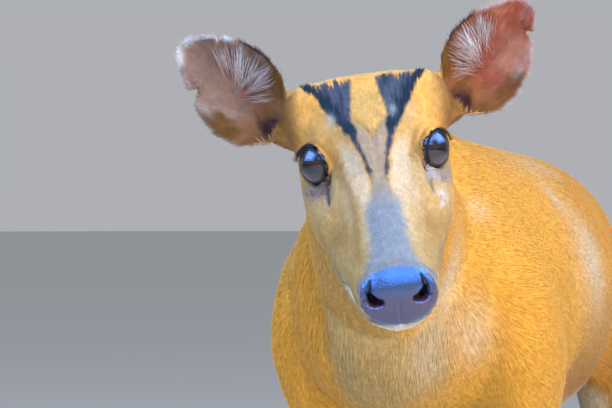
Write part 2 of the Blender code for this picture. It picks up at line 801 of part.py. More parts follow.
CLAW_POINTS = 14
CLAW_OFFSET = 0.0074
CLAW_HALF_WIDTH = 0.0066
CLAW_FRONT = 0.026
CLAW_BACK = 0.015
CLAW_TOE_IN = 0.0026
CLAW_TOP_WIDTH = 0.88
CLAW_TOP_LENGTH = 0.68
CLAW_TOP_SHIFT = 0.005
CLAW_POINT = 0.5
DEWCLAW_OFFSET = 0.0085
DEWCLAW_RADIUS = 0.0038
DEWCLAW_LENGTH = 0.012
DEWCLAW_SIDES = 7
DEWCLAW_POINT = 0.45
DEWCLAW_LEAN = math.radians(48)


def claw(name, coronet, side, inner):
    """One half of a cloven hoof: a teardrop sole drawn up to the slanted coronet."""
    form = bmesh.new()
    sole = bmesh.ops.create_circle(form, cap_ends=True, segments=CLAW_POINTS, radius=1.0)["verts"]
    centre = Vector((side * coronet.x + inner * CLAW_OFFSET, coronet.y, 0))
    for vert in sole:
        reach = CLAW_FRONT if vert.co.y < 0 else CLAW_BACK
        ahead = max(0.0, -vert.co.y)
        narrow = 1 - CLAW_POINT * ahead**2
        vert.co = centre + Vector((
            vert.co.x * CLAW_HALF_WIDTH * narrow - inner * CLAW_TOE_IN * ahead**2, vert.co.y * reach, 0
        ))
    raised = bmesh.ops.extrude_face_region(form, geom=list(form.faces))["geom"]
    for vert in (item for item in raised if isinstance(item, bmesh.types.BMVert)):
        x = centre.x + (vert.co.x - centre.x) * CLAW_TOP_WIDTH
        y = centre.y + (vert.co.y - centre.y) * CLAW_TOP_LENGTH + CLAW_TOP_SHIFT
        z = coronet.z - HALF_GAP - CORONET_SLOPE * (y - coronet.y)
        vert.co = Vector((x, y, z))
    kept(mesh_object(name, form), horn, smooth=False)


def dewclaw_form(fetlock, side, inner, more):
    """A small cone of horn behind the fetlock, grown on every side by the last value."""
    form = bmesh.new()
    turn = Matrix.Rotation(DEWCLAW_LEAN, 4, "X")
    at = Matrix.Translation((side * fetlock.x + inner * DEWCLAW_OFFSET, fetlock.y, fetlock.z))
    bmesh.ops.create_cone(
        form, cap_ends=True, segments=DEWCLAW_SIDES, radius1=DEWCLAW_RADIUS * DEWCLAW_POINT + more,
        radius2=DEWCLAW_RADIUS + more, depth=DEWCLAW_LENGTH + 2 * more, matrix=at @ turn
    )
    return form


FEET = (
    ("foreleg", FORE_CORONET, Vector((0.052, 0.0207, 0.0400))),
    ("hindleg", HIND_CORONET, Vector((0.053, 0.4158, 0.0400))),
)
for leg, coronet, behind in FEET:
    for side_name, side in (("left", 1), ("right", -1)):
        cannon = bpy.data.objects[f"{leg}_{side_name}_cannon"]
        for place_name, inner in (("outer", side), ("inner", -side)):
            claw(f"{leg}_{side_name}_hoof_{place_name}", coronet, side, inner)
            cut_out(cannon, cutter_object("dewclaw_bed", dewclaw_form(behind, side, inner, GAP)))
            dewclaw = dewclaw_form(behind, side, inner, 0)
            kept(mesh_object(f"{leg}_{side_name}_dewclaw_{place_name}", dewclaw), horn, smooth=False)

bpy.data.objects.remove(body, do_unlink=True)


# The origin is under the middle of the whole animal, on the floor

corners = np.array([tuple(vert.co) for obj in muntjac.objects for vert in obj.data.vertices])
low, high = corners.min(axis=0), corners.max(axis=0)
to_middle = Matrix.Translation((-(low[0] + high[0]) / 2, -(low[1] + high[1]) / 2, -low[2]))
for obj in muntjac.objects:
    obj.data.transform(to_middle)
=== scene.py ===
"""A red muntjac doe, life size: one skin over the flesh, and a coat of short hair in tufts over the skin."""
import math

import bmesh
import bpy
import numpy as np
from mathutils import Matrix, Vector
from mathutils.kdtree import KDTree


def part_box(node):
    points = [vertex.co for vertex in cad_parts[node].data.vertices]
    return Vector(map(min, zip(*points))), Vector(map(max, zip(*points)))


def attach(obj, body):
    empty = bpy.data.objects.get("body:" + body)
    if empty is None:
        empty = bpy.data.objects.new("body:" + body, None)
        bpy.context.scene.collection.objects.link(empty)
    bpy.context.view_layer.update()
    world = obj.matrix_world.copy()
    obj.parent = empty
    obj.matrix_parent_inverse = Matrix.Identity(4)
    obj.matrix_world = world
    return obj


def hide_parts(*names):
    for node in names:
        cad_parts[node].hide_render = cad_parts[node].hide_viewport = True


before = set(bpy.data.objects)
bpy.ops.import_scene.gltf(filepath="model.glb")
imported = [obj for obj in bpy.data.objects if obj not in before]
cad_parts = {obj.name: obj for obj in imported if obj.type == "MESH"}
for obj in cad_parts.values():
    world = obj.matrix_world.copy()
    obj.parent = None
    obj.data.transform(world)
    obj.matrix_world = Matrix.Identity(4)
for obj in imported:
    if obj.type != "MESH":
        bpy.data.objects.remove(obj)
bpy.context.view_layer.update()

MM = 0.001
scene = bpy.context.scene


# The head's own frame, and the body's
# The head is turned to the animal's left, tilted and lowered. Everything on it is placed in a frame whose
# origin lies between the eyes: x to the animal's left, y back and z up, in millimetres. The body's frame
# has its origin on the floor under the middle of the trunk's width, and 503 mm before the root of the tail.

HEAD_YAW = math.radians(19.3)
HEAD_ROLL = math.radians(8.0)
HEAD_PITCH = math.radians(24.2)
EYE_RADIUS = 13.5
EYE_CENTRE = np.array((31.0, 2.5, -0.6))
TAIL_ROOT = 503.35

head_turn = (
    Matrix.Rotation(HEAD_YAW, 3, "Z")
    @ Matrix.Rotation(-HEAD_ROLL, 3, "Y")
    @ Matrix.Rotation(HEAD_PITCH, 3, "X")
)
ball_corners = [corner for side in ("left", "right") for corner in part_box(f"eye_{side}")]
between_balls = sum((Vector(corner) for corner in ball_corners), Vector()) / len(ball_corners)
eye_mid = between_balls - head_turn @ Vector((0, EYE_CENTRE[1], EYE_CENTRE[2])) * MM
HEAD_AXES = np.array(head_turn)
HEAD_ORIGIN = np.array(eye_mid)
trunk_low, trunk_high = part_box("trunk")
BODY_ORIGIN = np.array(((trunk_low[0] + trunk_high[0]) / 2, trunk_high[1] - TAIL_ROOT * MM, 0))


def to_head(points):
    """World metres to millimetres in the head's frame."""
    return (points - HEAD_ORIGIN) @ HEAD_AXES / MM


def from_head(points):
    return np.asarray(points, float) * MM @ HEAD_AXES.T + HEAD_ORIGIN


def to_body(points):
    """World metres to millimetres in the body's frame."""
    return (points - BODY_ORIGIN) / MM


def from_body(points):
    return np.asarray(points, float) * MM + BODY_ORIGIN


# Camera, floor and light
# A small pale studio: a plain floor, soft blue panels above, ahead and to the sides, a warm window light
# from the right, a warm fill and a pale sky. Three deep blue panels light no coat or floor, and only show
# in gloss, in the wet eyes and nose. The lens is long.

CAMERA_AZIMUTH = math.radians(20.3)
CAMERA_DISTANCE = 1.1
CAMERA_ASIDE = 0.0408
CAMERA_BELOW = 0.0286
LENS = 108.7
SENSOR_WIDTH = 36.0
NEAREST_SEEN = 0.05

rightward = Vector((math.cos(CAMERA_AZIMUTH), math.sin(CAMERA_AZIMUTH), 0))
backward = Vector((math.sin(CAMERA_AZIMUTH), -math.cos(CAMERA_AZIMUTH), 0))
upward = Vector((0, 0, 1))
camera = bpy.data.objects.new("camera", bpy.data.cameras.new("camera"))
camera.data.lens = LENS
camera.data.sensor_width = SENSOR_WIDTH
camera.data.clip_start = NEAREST_SEEN
camera.location = eye_mid - rightward * CAMERA_ASIDE - upward * CAMERA_BELOW + backward * CAMERA_DISTANCE
camera.rotation_euler = (math.pi / 2, 0, CAMERA_AZIMUTH)
scene.collection.objects.link(camera)
scene.camera = camera
scene.view_settings.view_transform = "Standard"


def node(tree, kind, **values):
    """A shader node. Values are for its settings, or for sockets by name or by I and a number."""
    made = tree.nodes.new(kind)
    for name, value in values.items():
        if hasattr(made, name) and not name[0].isupper():
            setattr(made, name, value)
            continue
        numbered = name[0] == "I" and name[1:].isdigit()
        socket = made.inputs[int(name[1:]) if numbered else name.replace("_", " ")]
        if isinstance(value, bpy.types.NodeSocket):
            tree.links.new(value, socket)
        else:
            socket.default_value = value
    return made


def material(name, colour, roughness, **values):
    """A material with a Principled shader; returns the material, its tree and the shader."""
    made = bpy.data.materials.new(name)
    made.use_nodes = True
    tree = made.node_tree
    shader = tree.nodes["Principled BSDF"]
    shader.inputs["Base Color"].default_value = (*colour, 1.0)
    shader.inputs["Roughness"].default_value = roughness
    for key, value in values.items():
        shader.inputs[key.replace("_", " ")].default_value = value
    return made, tree, shader


def panel(name, place, target, size, power, colour):
    """A soft rectangular lamp that faces the target, with its size in metres and its power in watts."""
    lamp = bpy.data.lights.new(name, "AREA")
    lamp.shape = "RECTANGLE"
    lamp.size, lamp.size_y = size
    lamp.energy = power
    lamp.color = colour
    made = bpy.data.objects.new(name, lamp)
    made.location = place
    made.rotation_euler = (Vector(target) - Vector(place)).to_track_quat("-Z", "Y").to_euler()
    scene.collection.objects.link(made)
    return made


def from_camera(right, toward, up):
    """A place given from between the eyes: to the camera's right, towards it, and up, in metres."""
    return eye_mid + rightward * right + backward * toward + upward * up


WARM = (1.0, 0.84, 0.62)
HIGH_BLUE = (0.50, 0.76, 1.0)
BLUE = (0.30, 0.60, 1.0)
DEEP_BLUE = (0.06, 0.31, 1.0)
SKY_COLOUR = (0.92, 0.94, 1.0, 1)
SKY_STRENGTH = 0.46
FLOOR_COLOUR = (0.62, 0.63, 0.64)
FLOOR_RADIUS = 30.0
FLOOR_SIDES = 96

between_eyes = from_camera(0, 0, 0)
panel("sky_above", from_camera(0.1, 0.8, 1.6), between_eyes, (2.2, 1.6), 26, HIGH_BLUE)
ahead = panel("sky_ahead", from_camera(-0.1, 1.5, 1.05), between_eyes, (1.0, 0.55), 9, BLUE)
panel("sky_left", from_camera(-1.35, 0.35, 0.85), between_eyes, (1.1, 0.7), 15, BLUE)
panel("sky_right", from_camera(1.25, 0.05, 1.15), between_eyes, (1.1, 0.7), 15, BLUE)
mirrored = [
    panel("mirrored_ahead", from_camera(0.05, 1.5, 1.2), between_eyes, (1.7, 1.5), 66, DEEP_BLUE),
    panel("mirrored_left", from_camera(-1.5, 0.39, 0.95), between_eyes, (2.2, 1.35), 80, DEEP_BLUE),
    panel("mirrored_right", from_camera(1.39, 0.06, 1.28), between_eyes, (2.2, 1.35), 80, DEEP_BLUE),
]
window = panel("window", from_camera(1.6, 1.5, 0.9), from_camera(0.1, -0.2, 0), (1.0, 1.0), 58, WARM)
fill = panel("front_fill", from_camera(-0.7, 2.4, 0.5), from_camera(0, -0.1, 0), (1.6, 1.2), 21, WARM)
for lamp in mirrored:
    lamp.visible_diffuse = False
for lamp in (ahead, window, fill):
    lamp.visible_glossy = False

sky = bpy.data.worlds.new("pale_sky")
sky.use_nodes = True
scene.world = sky
sky.node_tree.nodes["Background"].inputs["Color"].default_value = SKY_COLOUR
sky.node_tree.nodes["Background"].inputs["Strength"].default_value = SKY_STRENGTH

floor_form = bmesh.new()
bmesh.ops.create_circle(floor_form, cap_ends=True, segments=FLOOR_SIDES, radius=FLOOR_RADIUS)
floor_mesh = bpy.data.meshes.new("floor")
floor_form.to_mesh(floor_mesh)
floor_form.free()
floor = bpy.data.objects.new("floor", floor_mesh)
scene.collection.objects.link(floor)
floor_paint, _, _ = material("pale floor", FLOOR_COLOUR, 0.9)
floor.data.materials.append(floor_paint)


# Ears, as places
# A muntjac's ear is a broad thin cup of gristle, 75 mm long. Its shape is that of the frame's ear: stations
# along its axis give the middle and half of its width and its depth. The right ear mirrors the left, turned
# a little at its root and slightly larger. Three nicks in the margins are old tears.

EAR_ROOT = np.array((50.0, 45, 19))
EAR_TIP = np.array((111.0, 73, 55))
EAR_STATIONS = np.array([
    (-11, -6.0, 7.0, 3.0),
    (-4, -8.5, 11.0, 8.5),
    (3, -8.0, 17.5, 14.0),
    (13.5, -7.4, 25.3, 18.0),
    (28, -5.5, 28.6, 17.0),
    (44, -2.8, 26.2, 13.0),
    (56, -0.7, 19.5, 9.0),
    (66, 0.5, 12.8, 5.5),
    (72, 0.8, 7.5, 3.0),
    (75, 0.8, 2.0, 1.0),
])
EAR_ALONG = (EAR_TIP - EAR_ROOT) / np.linalg.norm(EAR_TIP - EAR_ROOT)
EAR_OPENING = np.array((0.12, -0.90, 0.42))
EAR_OPENING = EAR_OPENING - EAR_ALONG * (EAR_OPENING @ EAR_ALONG)
EAR_OPENING = EAR_OPENING / np.linalg.norm(EAR_OPENING)
EAR_ACROSS = np.cross(EAR_OPENING, EAR_ALONG)
EAR_REACH = 1.4
EAR_HOLD = 34.0
RIGHT_EAR_LIFT = math.radians(3.0)
RIGHT_EAR_GROWTH = 1.04
RIGHT_EAR = np.diag((-1.0, 1, 1)) @ (
    np.array(Matrix.Rotation(RIGHT_EAR_LIFT, 3, Vector(EAR_OPENING))) * RIGHT_EAR_GROWTH
)


def on_ear(points, side):
    """Points of the left ear, in head millimetres, moved to the ear of that side."""
    if side > 0:
        return points
    return (points - EAR_ROOT) @ RIGHT_EAR.T + EAR_ROOT * (-1, 1, 1)


def ear_point(side, along, wide, depth=0.0):
    """A point of an ear in head millimetres: along its axis, wide from -1 to 1, and out of the cup."""
    middle, half, deep = (np.interp(along, EAR_STATIONS[:, 0], EAR_STATIONS[:, i]) for i in (1, 2, 3))
    across = middle + half * wide
    out = depth - deep * (1 - wide**2)
    parts = ((along, EAR_ALONG), (across, EAR_ACROSS), (out, EAR_OPENING))
    return on_ear(EAR_ROOT + sum(np.multiply.outer(size, axis) for size, axis in parts), side)


def ear_opening(side):
    """Which way an ear's cup opens, in the head's frame."""
    opening = EAR_OPENING if side > 0 else EAR_OPENING @ RIGHT_EAR.T
    return opening / np.linalg.norm(opening)


def ear_reading(head_points, side):
    """For points in head millimetres: how far along the ear, how wide from -1 to 1, and out of the cup."""
    points = head_points
    if side < 0:
        points = (head_points - EAR_ROOT * (-1, 1, 1)) @ np.linalg.inv(RIGHT_EAR).T + EAR_ROOT
    away = points - EAR_ROOT
    along = away @ EAR_ALONG
    middle, half = (np.interp(along, EAR_STATIONS[:, 0], EAR_STATIONS[:, i]) for i in (1, 2))
    return along, (away @ EAR_ACROSS - middle) / half, away @ EAR_OPENING


def by_ear(head_points, side, from_middle):
    """Reads how far along and wide of an ear points are, and which of them are near it."""
    along, wide, out = ear_reading(head_points, side)
    near = (np.abs(wide) < EAR_REACH) & (head_points[:, 0] * side > from_middle) & (np.abs(out) < EAR_HOLD)
    return along, wide, near


# Which ear, how far along it, on which margin, half the width of the nick and its depth
EAR_NICKS = [(-1, 56.0, 0.98, 2.0, 5.5), (-1, 52.5, -1.05, 4.0, 8.5), (1, 61.5, -1.0, 3.4, 7.5)]


# The skin
# One hide covers all the flesh, from the lips and nose leather to the coronets of the hooves. Copies of the
# frame's pieces are grown by less than half a millimetre so that they meet, fused, smoothed and drawn in by
# the depth of the coat. The face keeps a fine mesh, and its folds are shaped on it point by point.

FLESH = [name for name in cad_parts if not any(word in name for word in ("eye", "hoof", "dewclaw"))]
MEETING = 0.4 * MM
SKIN_VOXEL = 1.5 * MM
FINE_SMOOTHING = 6
BODY_SMOOTHING = 14
BODY_SHARE = 0.17
BODY_COAT, LEG_COAT, CROWN_COAT, SNOUT_COAT, EAR_COAT = 4.0, 1.5, 1.8, 0.9, 0.9


def new_object(name, form):
    """Makes an object of a bmesh, and frees the bmesh."""
    mesh = bpy.data.meshes.new(name)
    form.to_mesh(mesh)
    form.free()
    made = bpy.data.objects.new(name, mesh)
    scene.collection.objects.link(made)
    return made


def apply_modifiers(obj):
    """Makes the object's mesh the one that its modifiers give."""
    mesh = bpy.data.meshes.new_from_object(obj.evaluated_get(bpy.context.evaluated_depsgraph_get()))
    obj.modifiers.clear()
    old = obj.data
    obj.data = mesh
    bpy.data.meshes.remove(old)


def places_of(mesh):
    found = np.empty(len(mesh.vertices) * 3)
    mesh.vertices.foreach_get("co", found)
    return found.reshape(-1, 3)


def set_places(mesh, points):
    mesh.vertices.foreach_set("co", points.ravel())
    mesh.update()


def normals_of(mesh):
    found = np.empty(len(mesh.vertices) * 3)
    mesh.vertex_normals.foreach_get("vector", found)
    return found.reshape(-1, 3)


def smooth_step(value, start, end):
    """From 0 at the start to 1 at the end, level at both."""
    t = np.clip((value - start) / (end - start), 0, 1)
    return t * t * (3 - 2 * t)


def bell(value, middle, width):
    """1 in the middle, falling off smoothly on both sides."""
    return np.exp(-(((value - middle) / width) ** 2))


def mix(a, b, share):
    return a + (b - a) * share


flesh_form = bmesh.new()
for name in FLESH:
    form = bmesh.new()
    form.from_mesh(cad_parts[name].data)
    bmesh.ops.remove_doubles(form, verts=form.verts, dist=1e-6)
    form.normal_update()
    for vert in form.verts:
        vert.co += vert.normal * MEETING
    grown = bpy.data.meshes.new(name + "_grown")
    form.to_mesh(grown)
    form.free()
    flesh_form.from_mesh(grown)
    bpy.data.meshes.remove(grown)
skin = new_object("skin", flesh_form)
fuse = skin.modifiers.new("fuse", "REMESH")
fuse.mode = "VOXEL"
fuse.voxel_size = SKIN_VOXEL
even = skin.modifiers.new("even", "SMOOTH")
even.factor = 0.5
even.iterations = FINE_SMOOTHING
apply_modifiers(skin)

# The body's mesh is thinned and smoothed; the face and the ears keep theirs
NAPE_POINT = np.array((22.0, -160, 476))
NAPE_NORMAL = np.array((0.15, -0.93, 0.34)) / np.linalg.norm((0.15, -0.93, 0.34))
points = places_of(skin.data)
head_points = to_head(points)
beyond_nape = (to_body(points) - NAPE_POINT) @ NAPE_NORMAL
under_crown = (head_points[:, 1] > 30) & (np.abs(head_points[:, 0]) < 40) & (head_points[:, 2] < 25)
coarse = (beyond_nape < 0) | under_crown
group = skin.vertex_groups.new(name="body")
group.add(np.nonzero(coarse)[0].tolist(), 1.0, "REPLACE")
skin.modifiers.new("triangles", "TRIANGULATE")
thin = skin.modifiers.new("thin", "DECIMATE")
thin.ratio = BODY_SHARE
thin.vertex_group = "body"
apply_modifiers(skin)
even = skin.modifiers.new("even", "SMOOTH")
even.factor = 0.5
even.iterations = BODY_SMOOTHING
even.vertex_group = "body"
apply_modifiers(skin)

# How deep the coat is, in millimetres, where hair covers the skin
points = places_of(skin.data)
normals = normals_of(skin.data)
head_points = to_head(points)
body_points = to_body(points)
beyond_nape = (body_points - NAPE_POINT) @ NAPE_NORMAL
on_head = smooth_step(beyond_nape, -20, 20)
on_snout = smooth_step(-head_points[:, 1], 40, 90) * on_head
on_leg = smooth_step(-body_points[:, 2], -300, -230)
depth = mix(BODY_COAT, LEG_COAT, on_leg)
depth = mix(depth, mix(CROWN_COAT, SNOUT_COAT, on_snout), on_head)
for side in (1, -1):
    along, wide, _ = ear_reading(head_points, side)
    on_ear_cup = smooth_step(along, 4, 12) * (np.abs(wide) < 1.3) * (np.abs(head_points[:, 0]) > 48)
    depth = mix(depth, EAR_COAT, on_ear_cup)
points = points - normals * depth[:, None] * MM

# The nicks: the margin is drawn in towards the middle of the ear
for side, along_nick, margin, half, deep in EAR_NICKS:
    head_points = to_head(points)
    along, wide, out = ear_reading(head_points, side)
    notch = 1 - smooth_step(np.abs(along - along_nick), 0.25 * half, 1.1 * half)
    notch = notch * smooth_step(wide * np.sign(margin), 0.1, 1.0) * (np.abs(out) < 9)
    notch = notch * (np.abs(wide) < EAR_REACH) * (head_points[:, 0] * side > 48)
    inward = ear_point(side, along, wide - np.sign(margin) * 0.1) - ear_point(side, along, wide)
    inward = inward / np.maximum(np.linalg.norm(inward, axis=1), 1e-6)[:, None]
    points = from_head(head_points + inward * (deep * notch)[:, None])
set_places(skin.data, points)

# The eyes and the nose get a finer mesh still
NOSE_TIP = np.array((0, -108.0, -38))
FINE_SPOTS = [(EYE_CENTRE, 23.0), (EYE_CENTRE * (-1, 1, 1), 23.0), (NOSE_TIP, 32.0)]
form = bmesh.new()
form.from_mesh(skin.data)
places = to_head(np.array([vert.co for vert in form.verts]))
fine = np.zeros(len(places), bool)
for centre, reach in FINE_SPOTS:
    fine |= np.linalg.norm(places - centre, axis=1) < reach
edges = [edge for edge in form.edges if fine[edge.verts[0].index] and fine[edge.verts[1].index]]
bmesh.ops.subdivide_edges(form, edges=edges, cuts=1, use_grid_fill=True)
bmesh.ops.triangulate(form, faces=[face for face in form.faces if len(face.verts) > 3])
form.to_mesh(skin.data)
form.free()


# Folds of the face
# The lids lie on the balls of the eyes. Soft ridges run up from the eyes to where a buck's antlers stand,
# and the scent glands open as slits before the eyes and as a V on the forehead. The nose leather is thick,
# with comma-shaped nostrils. Places are in head millimetres; front view places are x and height as seen.

EYE_AXIS = np.array((0.766, -0.63, 0.10)) / np.linalg.norm((0.766, -0.63, 0.10))
EYE_UP = np.array((0, 0, 1.0)) - EYE_AXIS * EYE_AXIS[2]
EYE_UP = EYE_UP / np.linalg.norm(EYE_UP)
EYE_BACK = np.cross(EYE_UP, EYE_AXIS)
# Half the opening of the lids, as an angle at the ball's centre, and how far the inner corner runs out
OPEN_BACK, OPEN_FRONT, OPEN_UP, OPEN_DOWN = 43.0, 50.0, 50.0, 45.0
CORNER_REACH, CORNER_LOW, CORNER_NARROW = 7.0, 36.0, 16.0
LID = 1.3
LID_EDGE = 0.5
SIN_PITCH, COS_PITCH = math.sin(HEAD_PITCH), math.cos(HEAD_PITCH)


def front_view(head_points):
    """Where head points lie as seen from straight before the face: x and height."""
    x, y, z = head_points.T
    return np.column_stack((x, z * COS_PITCH + y * SIN_PITCH))


def away_from_line(points, route):
    """The distance of each point to a route of straight runs, and how far along the route, from 0 to 1."""
    best = np.full(len(points), np.inf)
    share = np.zeros(len(points))
    route = np.array(route, float)
    steps = np.linalg.norm(np.diff(route, axis=0), axis=1)
    start_at = np.concatenate([[0], np.cumsum(steps)]) / steps.sum()
    for i, (start, end) in enumerate(zip(route[:-1], route[1:])):
        run = end - start
        t = np.clip((points - start) @ run / (run @ run), 0, 1)
        away = np.linalg.norm(points - start - t[:, None] * run, axis=1)
        nearer = away < best
        best = np.where(nearer, away, best)
        share = np.where(nearer, mix(start_at[i], start_at[i + 1], t), share)
    return best, share


def open_angle(turn):
    """How far the lids open in each direction round the eye, in degrees. Turn 0 is back and 90 is up."""
    level, rise = np.cos(turn), np.sin(turn)
    reach_level = np.where(level > 0, OPEN_BACK, OPEN_FRONT)
    reach_rise = np.where(rise > 0, OPEN_UP, OPEN_DOWN)
    oval = 1 / np.sqrt((level / reach_level) ** 2 + (rise / reach_rise) ** 2)
    corner = np.degrees(np.arctan2(rise, -level)) + CORNER_LOW
    return oval + CORNER_REACH * bell(corner, 0, CORNER_NARROW)


def round_eye(turn):
    """The direction square to the eye's axis at that turn."""
    return np.multiply.outer(np.cos(turn), EYE_BACK) + np.multiply.outer(np.sin(turn), EYE_UP)


def eye_reading(head_points, side):
    """Near an eye: distance from its centre, turn round its axis, and share of the lids' opening."""
    away = head_points * (side, 1, 1) - EYE_CENTRE
    distance = np.linalg.norm(away, axis=1) + 1e-9
    angle = np.degrees(np.arccos(np.clip(away @ EYE_AXIS / distance, -1, 1)))
    turn = np.arctan2(away @ EYE_UP, away @ EYE_BACK)
    return distance, turn, angle / open_angle(turn)


def lay_lids(points, side):
    """Moves the points near an eye so that its lids lie on the ball, with the fold above them."""
    distance, turn, share = eye_reading(points, side)
    near = distance < 2.6 * EYE_RADIUS
    snapped = near & (np.abs(share - 1) < 0.035)
    away = (points * (side, 1, 1) - EYE_CENTRE) / distance[:, None]
    angle = np.radians(np.where(snapped, 1.0, share) * open_angle(turn))
    facing = np.cos(angle)[:, None] * EYE_AXIS + np.sin(angle)[:, None] * round_eye(turn)
    away = np.where(snapped[:, None], facing, away)
    share = np.where(snapped, 1.0, share)
    upper = smooth_step(np.sin(turn), -0.2, 0.5)
    fold = mix(0.5, 1.4, upper) * bell(share, 1.42, 0.085)
    lid = EYE_RADIUS + mix(-1.6, LID_EDGE, smooth_step(share, 0.90, 1.0))
    lid = lid + (LID - LID_EDGE) * smooth_step(share, 1.0, 1.12)
    lid = lid + 0.6 * bell(share, 1.25, 0.12) - fold
    held = 1 - smooth_step(share, 1.45, 2.15)
    held = held * (1 - smooth_step(distance, 1.8 * EYE_RADIUS, 2.6 * EYE_RADIUS))
    wanted = mix(distance, lid, held)
    moved = (EYE_CENTRE + away * wanted[:, None]) * (side, 1, 1)
    points[near] = moved[near]


def sink(points, normals, route, width, depth, view=None, where=None):
    """Sinks a soft groove along a route, or raises a ridge where the depth is negative."""
    seen = points if view is None else view
    away, share = away_from_line(seen, route)
    width = np.interp(share, np.linspace(0, 1, len(width)), width)
    depth = np.interp(share, np.linspace(0, 1, len(depth)), depth)
    amount = depth * bell(away, 0, width)
    if where is not None:
        amount = amount * where
    points -= amount[:, None] * normals


FACE_MIDDLE = (0, -30, -20)
FACE_REACH = 115
NOSE_MIDDLE = np.array((0.6, -79.6))
NOSE_HALF = (22.0, 16.9)
NOSE_POWER = 2.3
NOSTRIL = [(14.0, -70.2), (15.6, -76.7), (12.9, -81.7), (9.8, -82.4)]
NOSTRIL_SHARES = (0, 0.45, 0.8, 1)
NOSTRIL_WIDTHS = (0.8, 1.5, 2.5, 1.8)
NOSTRIL_DEPTHS = (1.2, 3.0, 8.0, 6.0)
WING = [(17.4, -72), (19.3, -78), (17.2, -84.5), (11.6, -86.4)]
LIP_GROOVE = [(0, -83), (0, -96)]
V_FOLD = [(11.0, 22.5), (5.2, 18.0), (0, 10.8)]
V_STEM = [(0, 10.8), (0, -10)]
FOREHEAD_RIDGE = [(33, 38), (27, 30), (18.5, 19.5), (12.3, 8.5), (8.0, -3), (6.2, -14)]
GLAND_SLIT = [(30.0, -8.0), (30.0, -17), (30.6, -27)]
BROW = [(24, 16), (34, 21), (44, 18.5)]


def nose_edge(view):
    """How far inside the outline of the nose leather a point of the front view lies, in millimetres."""
    x = np.abs(view[:, 0] - NOSE_MIDDLE[0]) / NOSE_HALF[0]
    y = np.abs(view[:, 1] - NOSE_MIDDLE[1]) / NOSE_HALF[1]
    y = np.where(view[:, 1] < NOSE_MIDDLE[1], y * (1 + 0.10 * x), y)
    return (1 - (x**NOSE_POWER + y**NOSE_POWER) ** (1 / NOSE_POWER)) * min(NOSE_HALF)


def nostril_hole(view, route):
    """How far inside a nostril points of the front view are, from 0 to 1, and how deep it is there."""
    away, share = away_from_line(view, route)
    width = np.interp(share, NOSTRIL_SHARES, NOSTRIL_WIDTHS)
    return np.exp(-((away / width) ** 4)), np.interp(share, NOSTRIL_SHARES, NOSTRIL_DEPTHS)


def both_ways(route):
    """A route of the left side, and its mirror on the right."""
    return [route, [(-x, *rest) for x, *rest in route]]


points = places_of(skin.data)
normals = normals_of(skin.data) @ HEAD_AXES
head_points = to_head(points)
near_face = (np.linalg.norm(head_points - FACE_MIDDLE, axis=1) < FACE_REACH) & (head_points[:, 1] < 60)
face = head_points[near_face]
face_normals = normals[near_face]
for side in (1, -1):
    lay_lids(face, side)
view = front_view(face)
in_front = smooth_step(-face_normals[:, 1], -0.15, 0.25)
snout_front = smooth_step(-face[:, 1], 84, 92)
sink(face, face_normals, V_STEM, (1.6, 1.2), (0.7, 0.2), view, in_front)
for route in both_ways(V_FOLD):
    sink(face, face_normals, route, (1.7, 1.5), (0.9, 1.2), view, in_front)
for route in both_ways(FOREHEAD_RIDGE):
    sink(face, face_normals, route, (4.5, 3.5, 2.6), (-1.8, -1.4, -0.8), view, in_front)
for route in both_ways(GLAND_SLIT):
    sink(face, face_normals, route, (2.0, 1.5, 1.2), (1.6, 1.5, 0.6), view, smooth_step(-face[:, 1], 2, 12))
for route in both_ways(BROW):
    sink(face, face_normals, route, (5.0, 5.0), (-1.0, -1.2), view, in_front)

# The nose leather swells at its rim, and the nostrils sink in
edge = nose_edge(view)
leather = smooth_step(edge, -0.3, 0.6) * snout_front
swell = 0.9 * smooth_step(edge, -0.4, 2.5) * snout_front * smooth_step(-view[:, 1], 66, 76)
face += face_normals * swell[:, None]
for route in both_ways(NOSTRIL):
    hole, deep = nostril_hole(view, route)
    face[:, 1] += deep * hole * snout_front
for route in both_ways(WING):
    sink(face, face_normals, route, (1.6, 2.2, 2.4, 1.6), (-0.9, -1.5, -1.6, -0.8), view, snout_front)
sink(face, face_normals, LIP_GROOVE, (0.8, 0.8), (0.5, 0.9), view, snout_front)

# The mouth
MOUTH = [(0, -107, -60), (12, -105, -58), (20, -99, -50), (26, -88, -42), (29, -68, -43)]
mouth_side = np.where(face[:, 0] > 0, smooth_step(-face[:, 2], 48, 54), 1)
for route in both_ways(MOUTH):
    sink(face, face_normals, route, (1.4, 1.4, 1.6, 1.8, 1.6), (1.5, 1.6, 1.6, 1.4, 0.3),
         where=mouth_side * (1 - leather))
head_points[near_face] = face
set_places(skin.data, from_head(head_points))


# Folds of the body
# Two soft creases cross the shoulder, before and behind the upper arm. One runs before the thigh, and one
# down the root of the neck.

# The route of each fold, how wide it is and how deep from its first end to its last
BODY_FOLDS = [
    ([(92, -62, 425), (94, -68, 385), (86, -66, 345), (74, -48, 315)], (10, 10), (2.2, 2.6)),
    ([(110, 96, 415), (112, 107, 375), (108, 113, 338), (96, 107, 308)], (7, 6), (1.5, 3.6)),
    ([(100, 318, 430), (104, 300, 392), (96, 296, 352), (84, 300, 322)], (13, 13), (1.5, 2.0)),
    ([(46, -92, 462), (52, -85, 425), (48, -92, 385), (30, -98, 350)], (12, 12), (1.5, 1.5)),
]
points = to_body(places_of(skin.data))
normals = normals_of(skin.data)
for fold, width, deep in BODY_FOLDS:
    for route in both_ways(fold):
        sink(points, normals, route, width, deep)
set_places(skin.data, from_body(points))
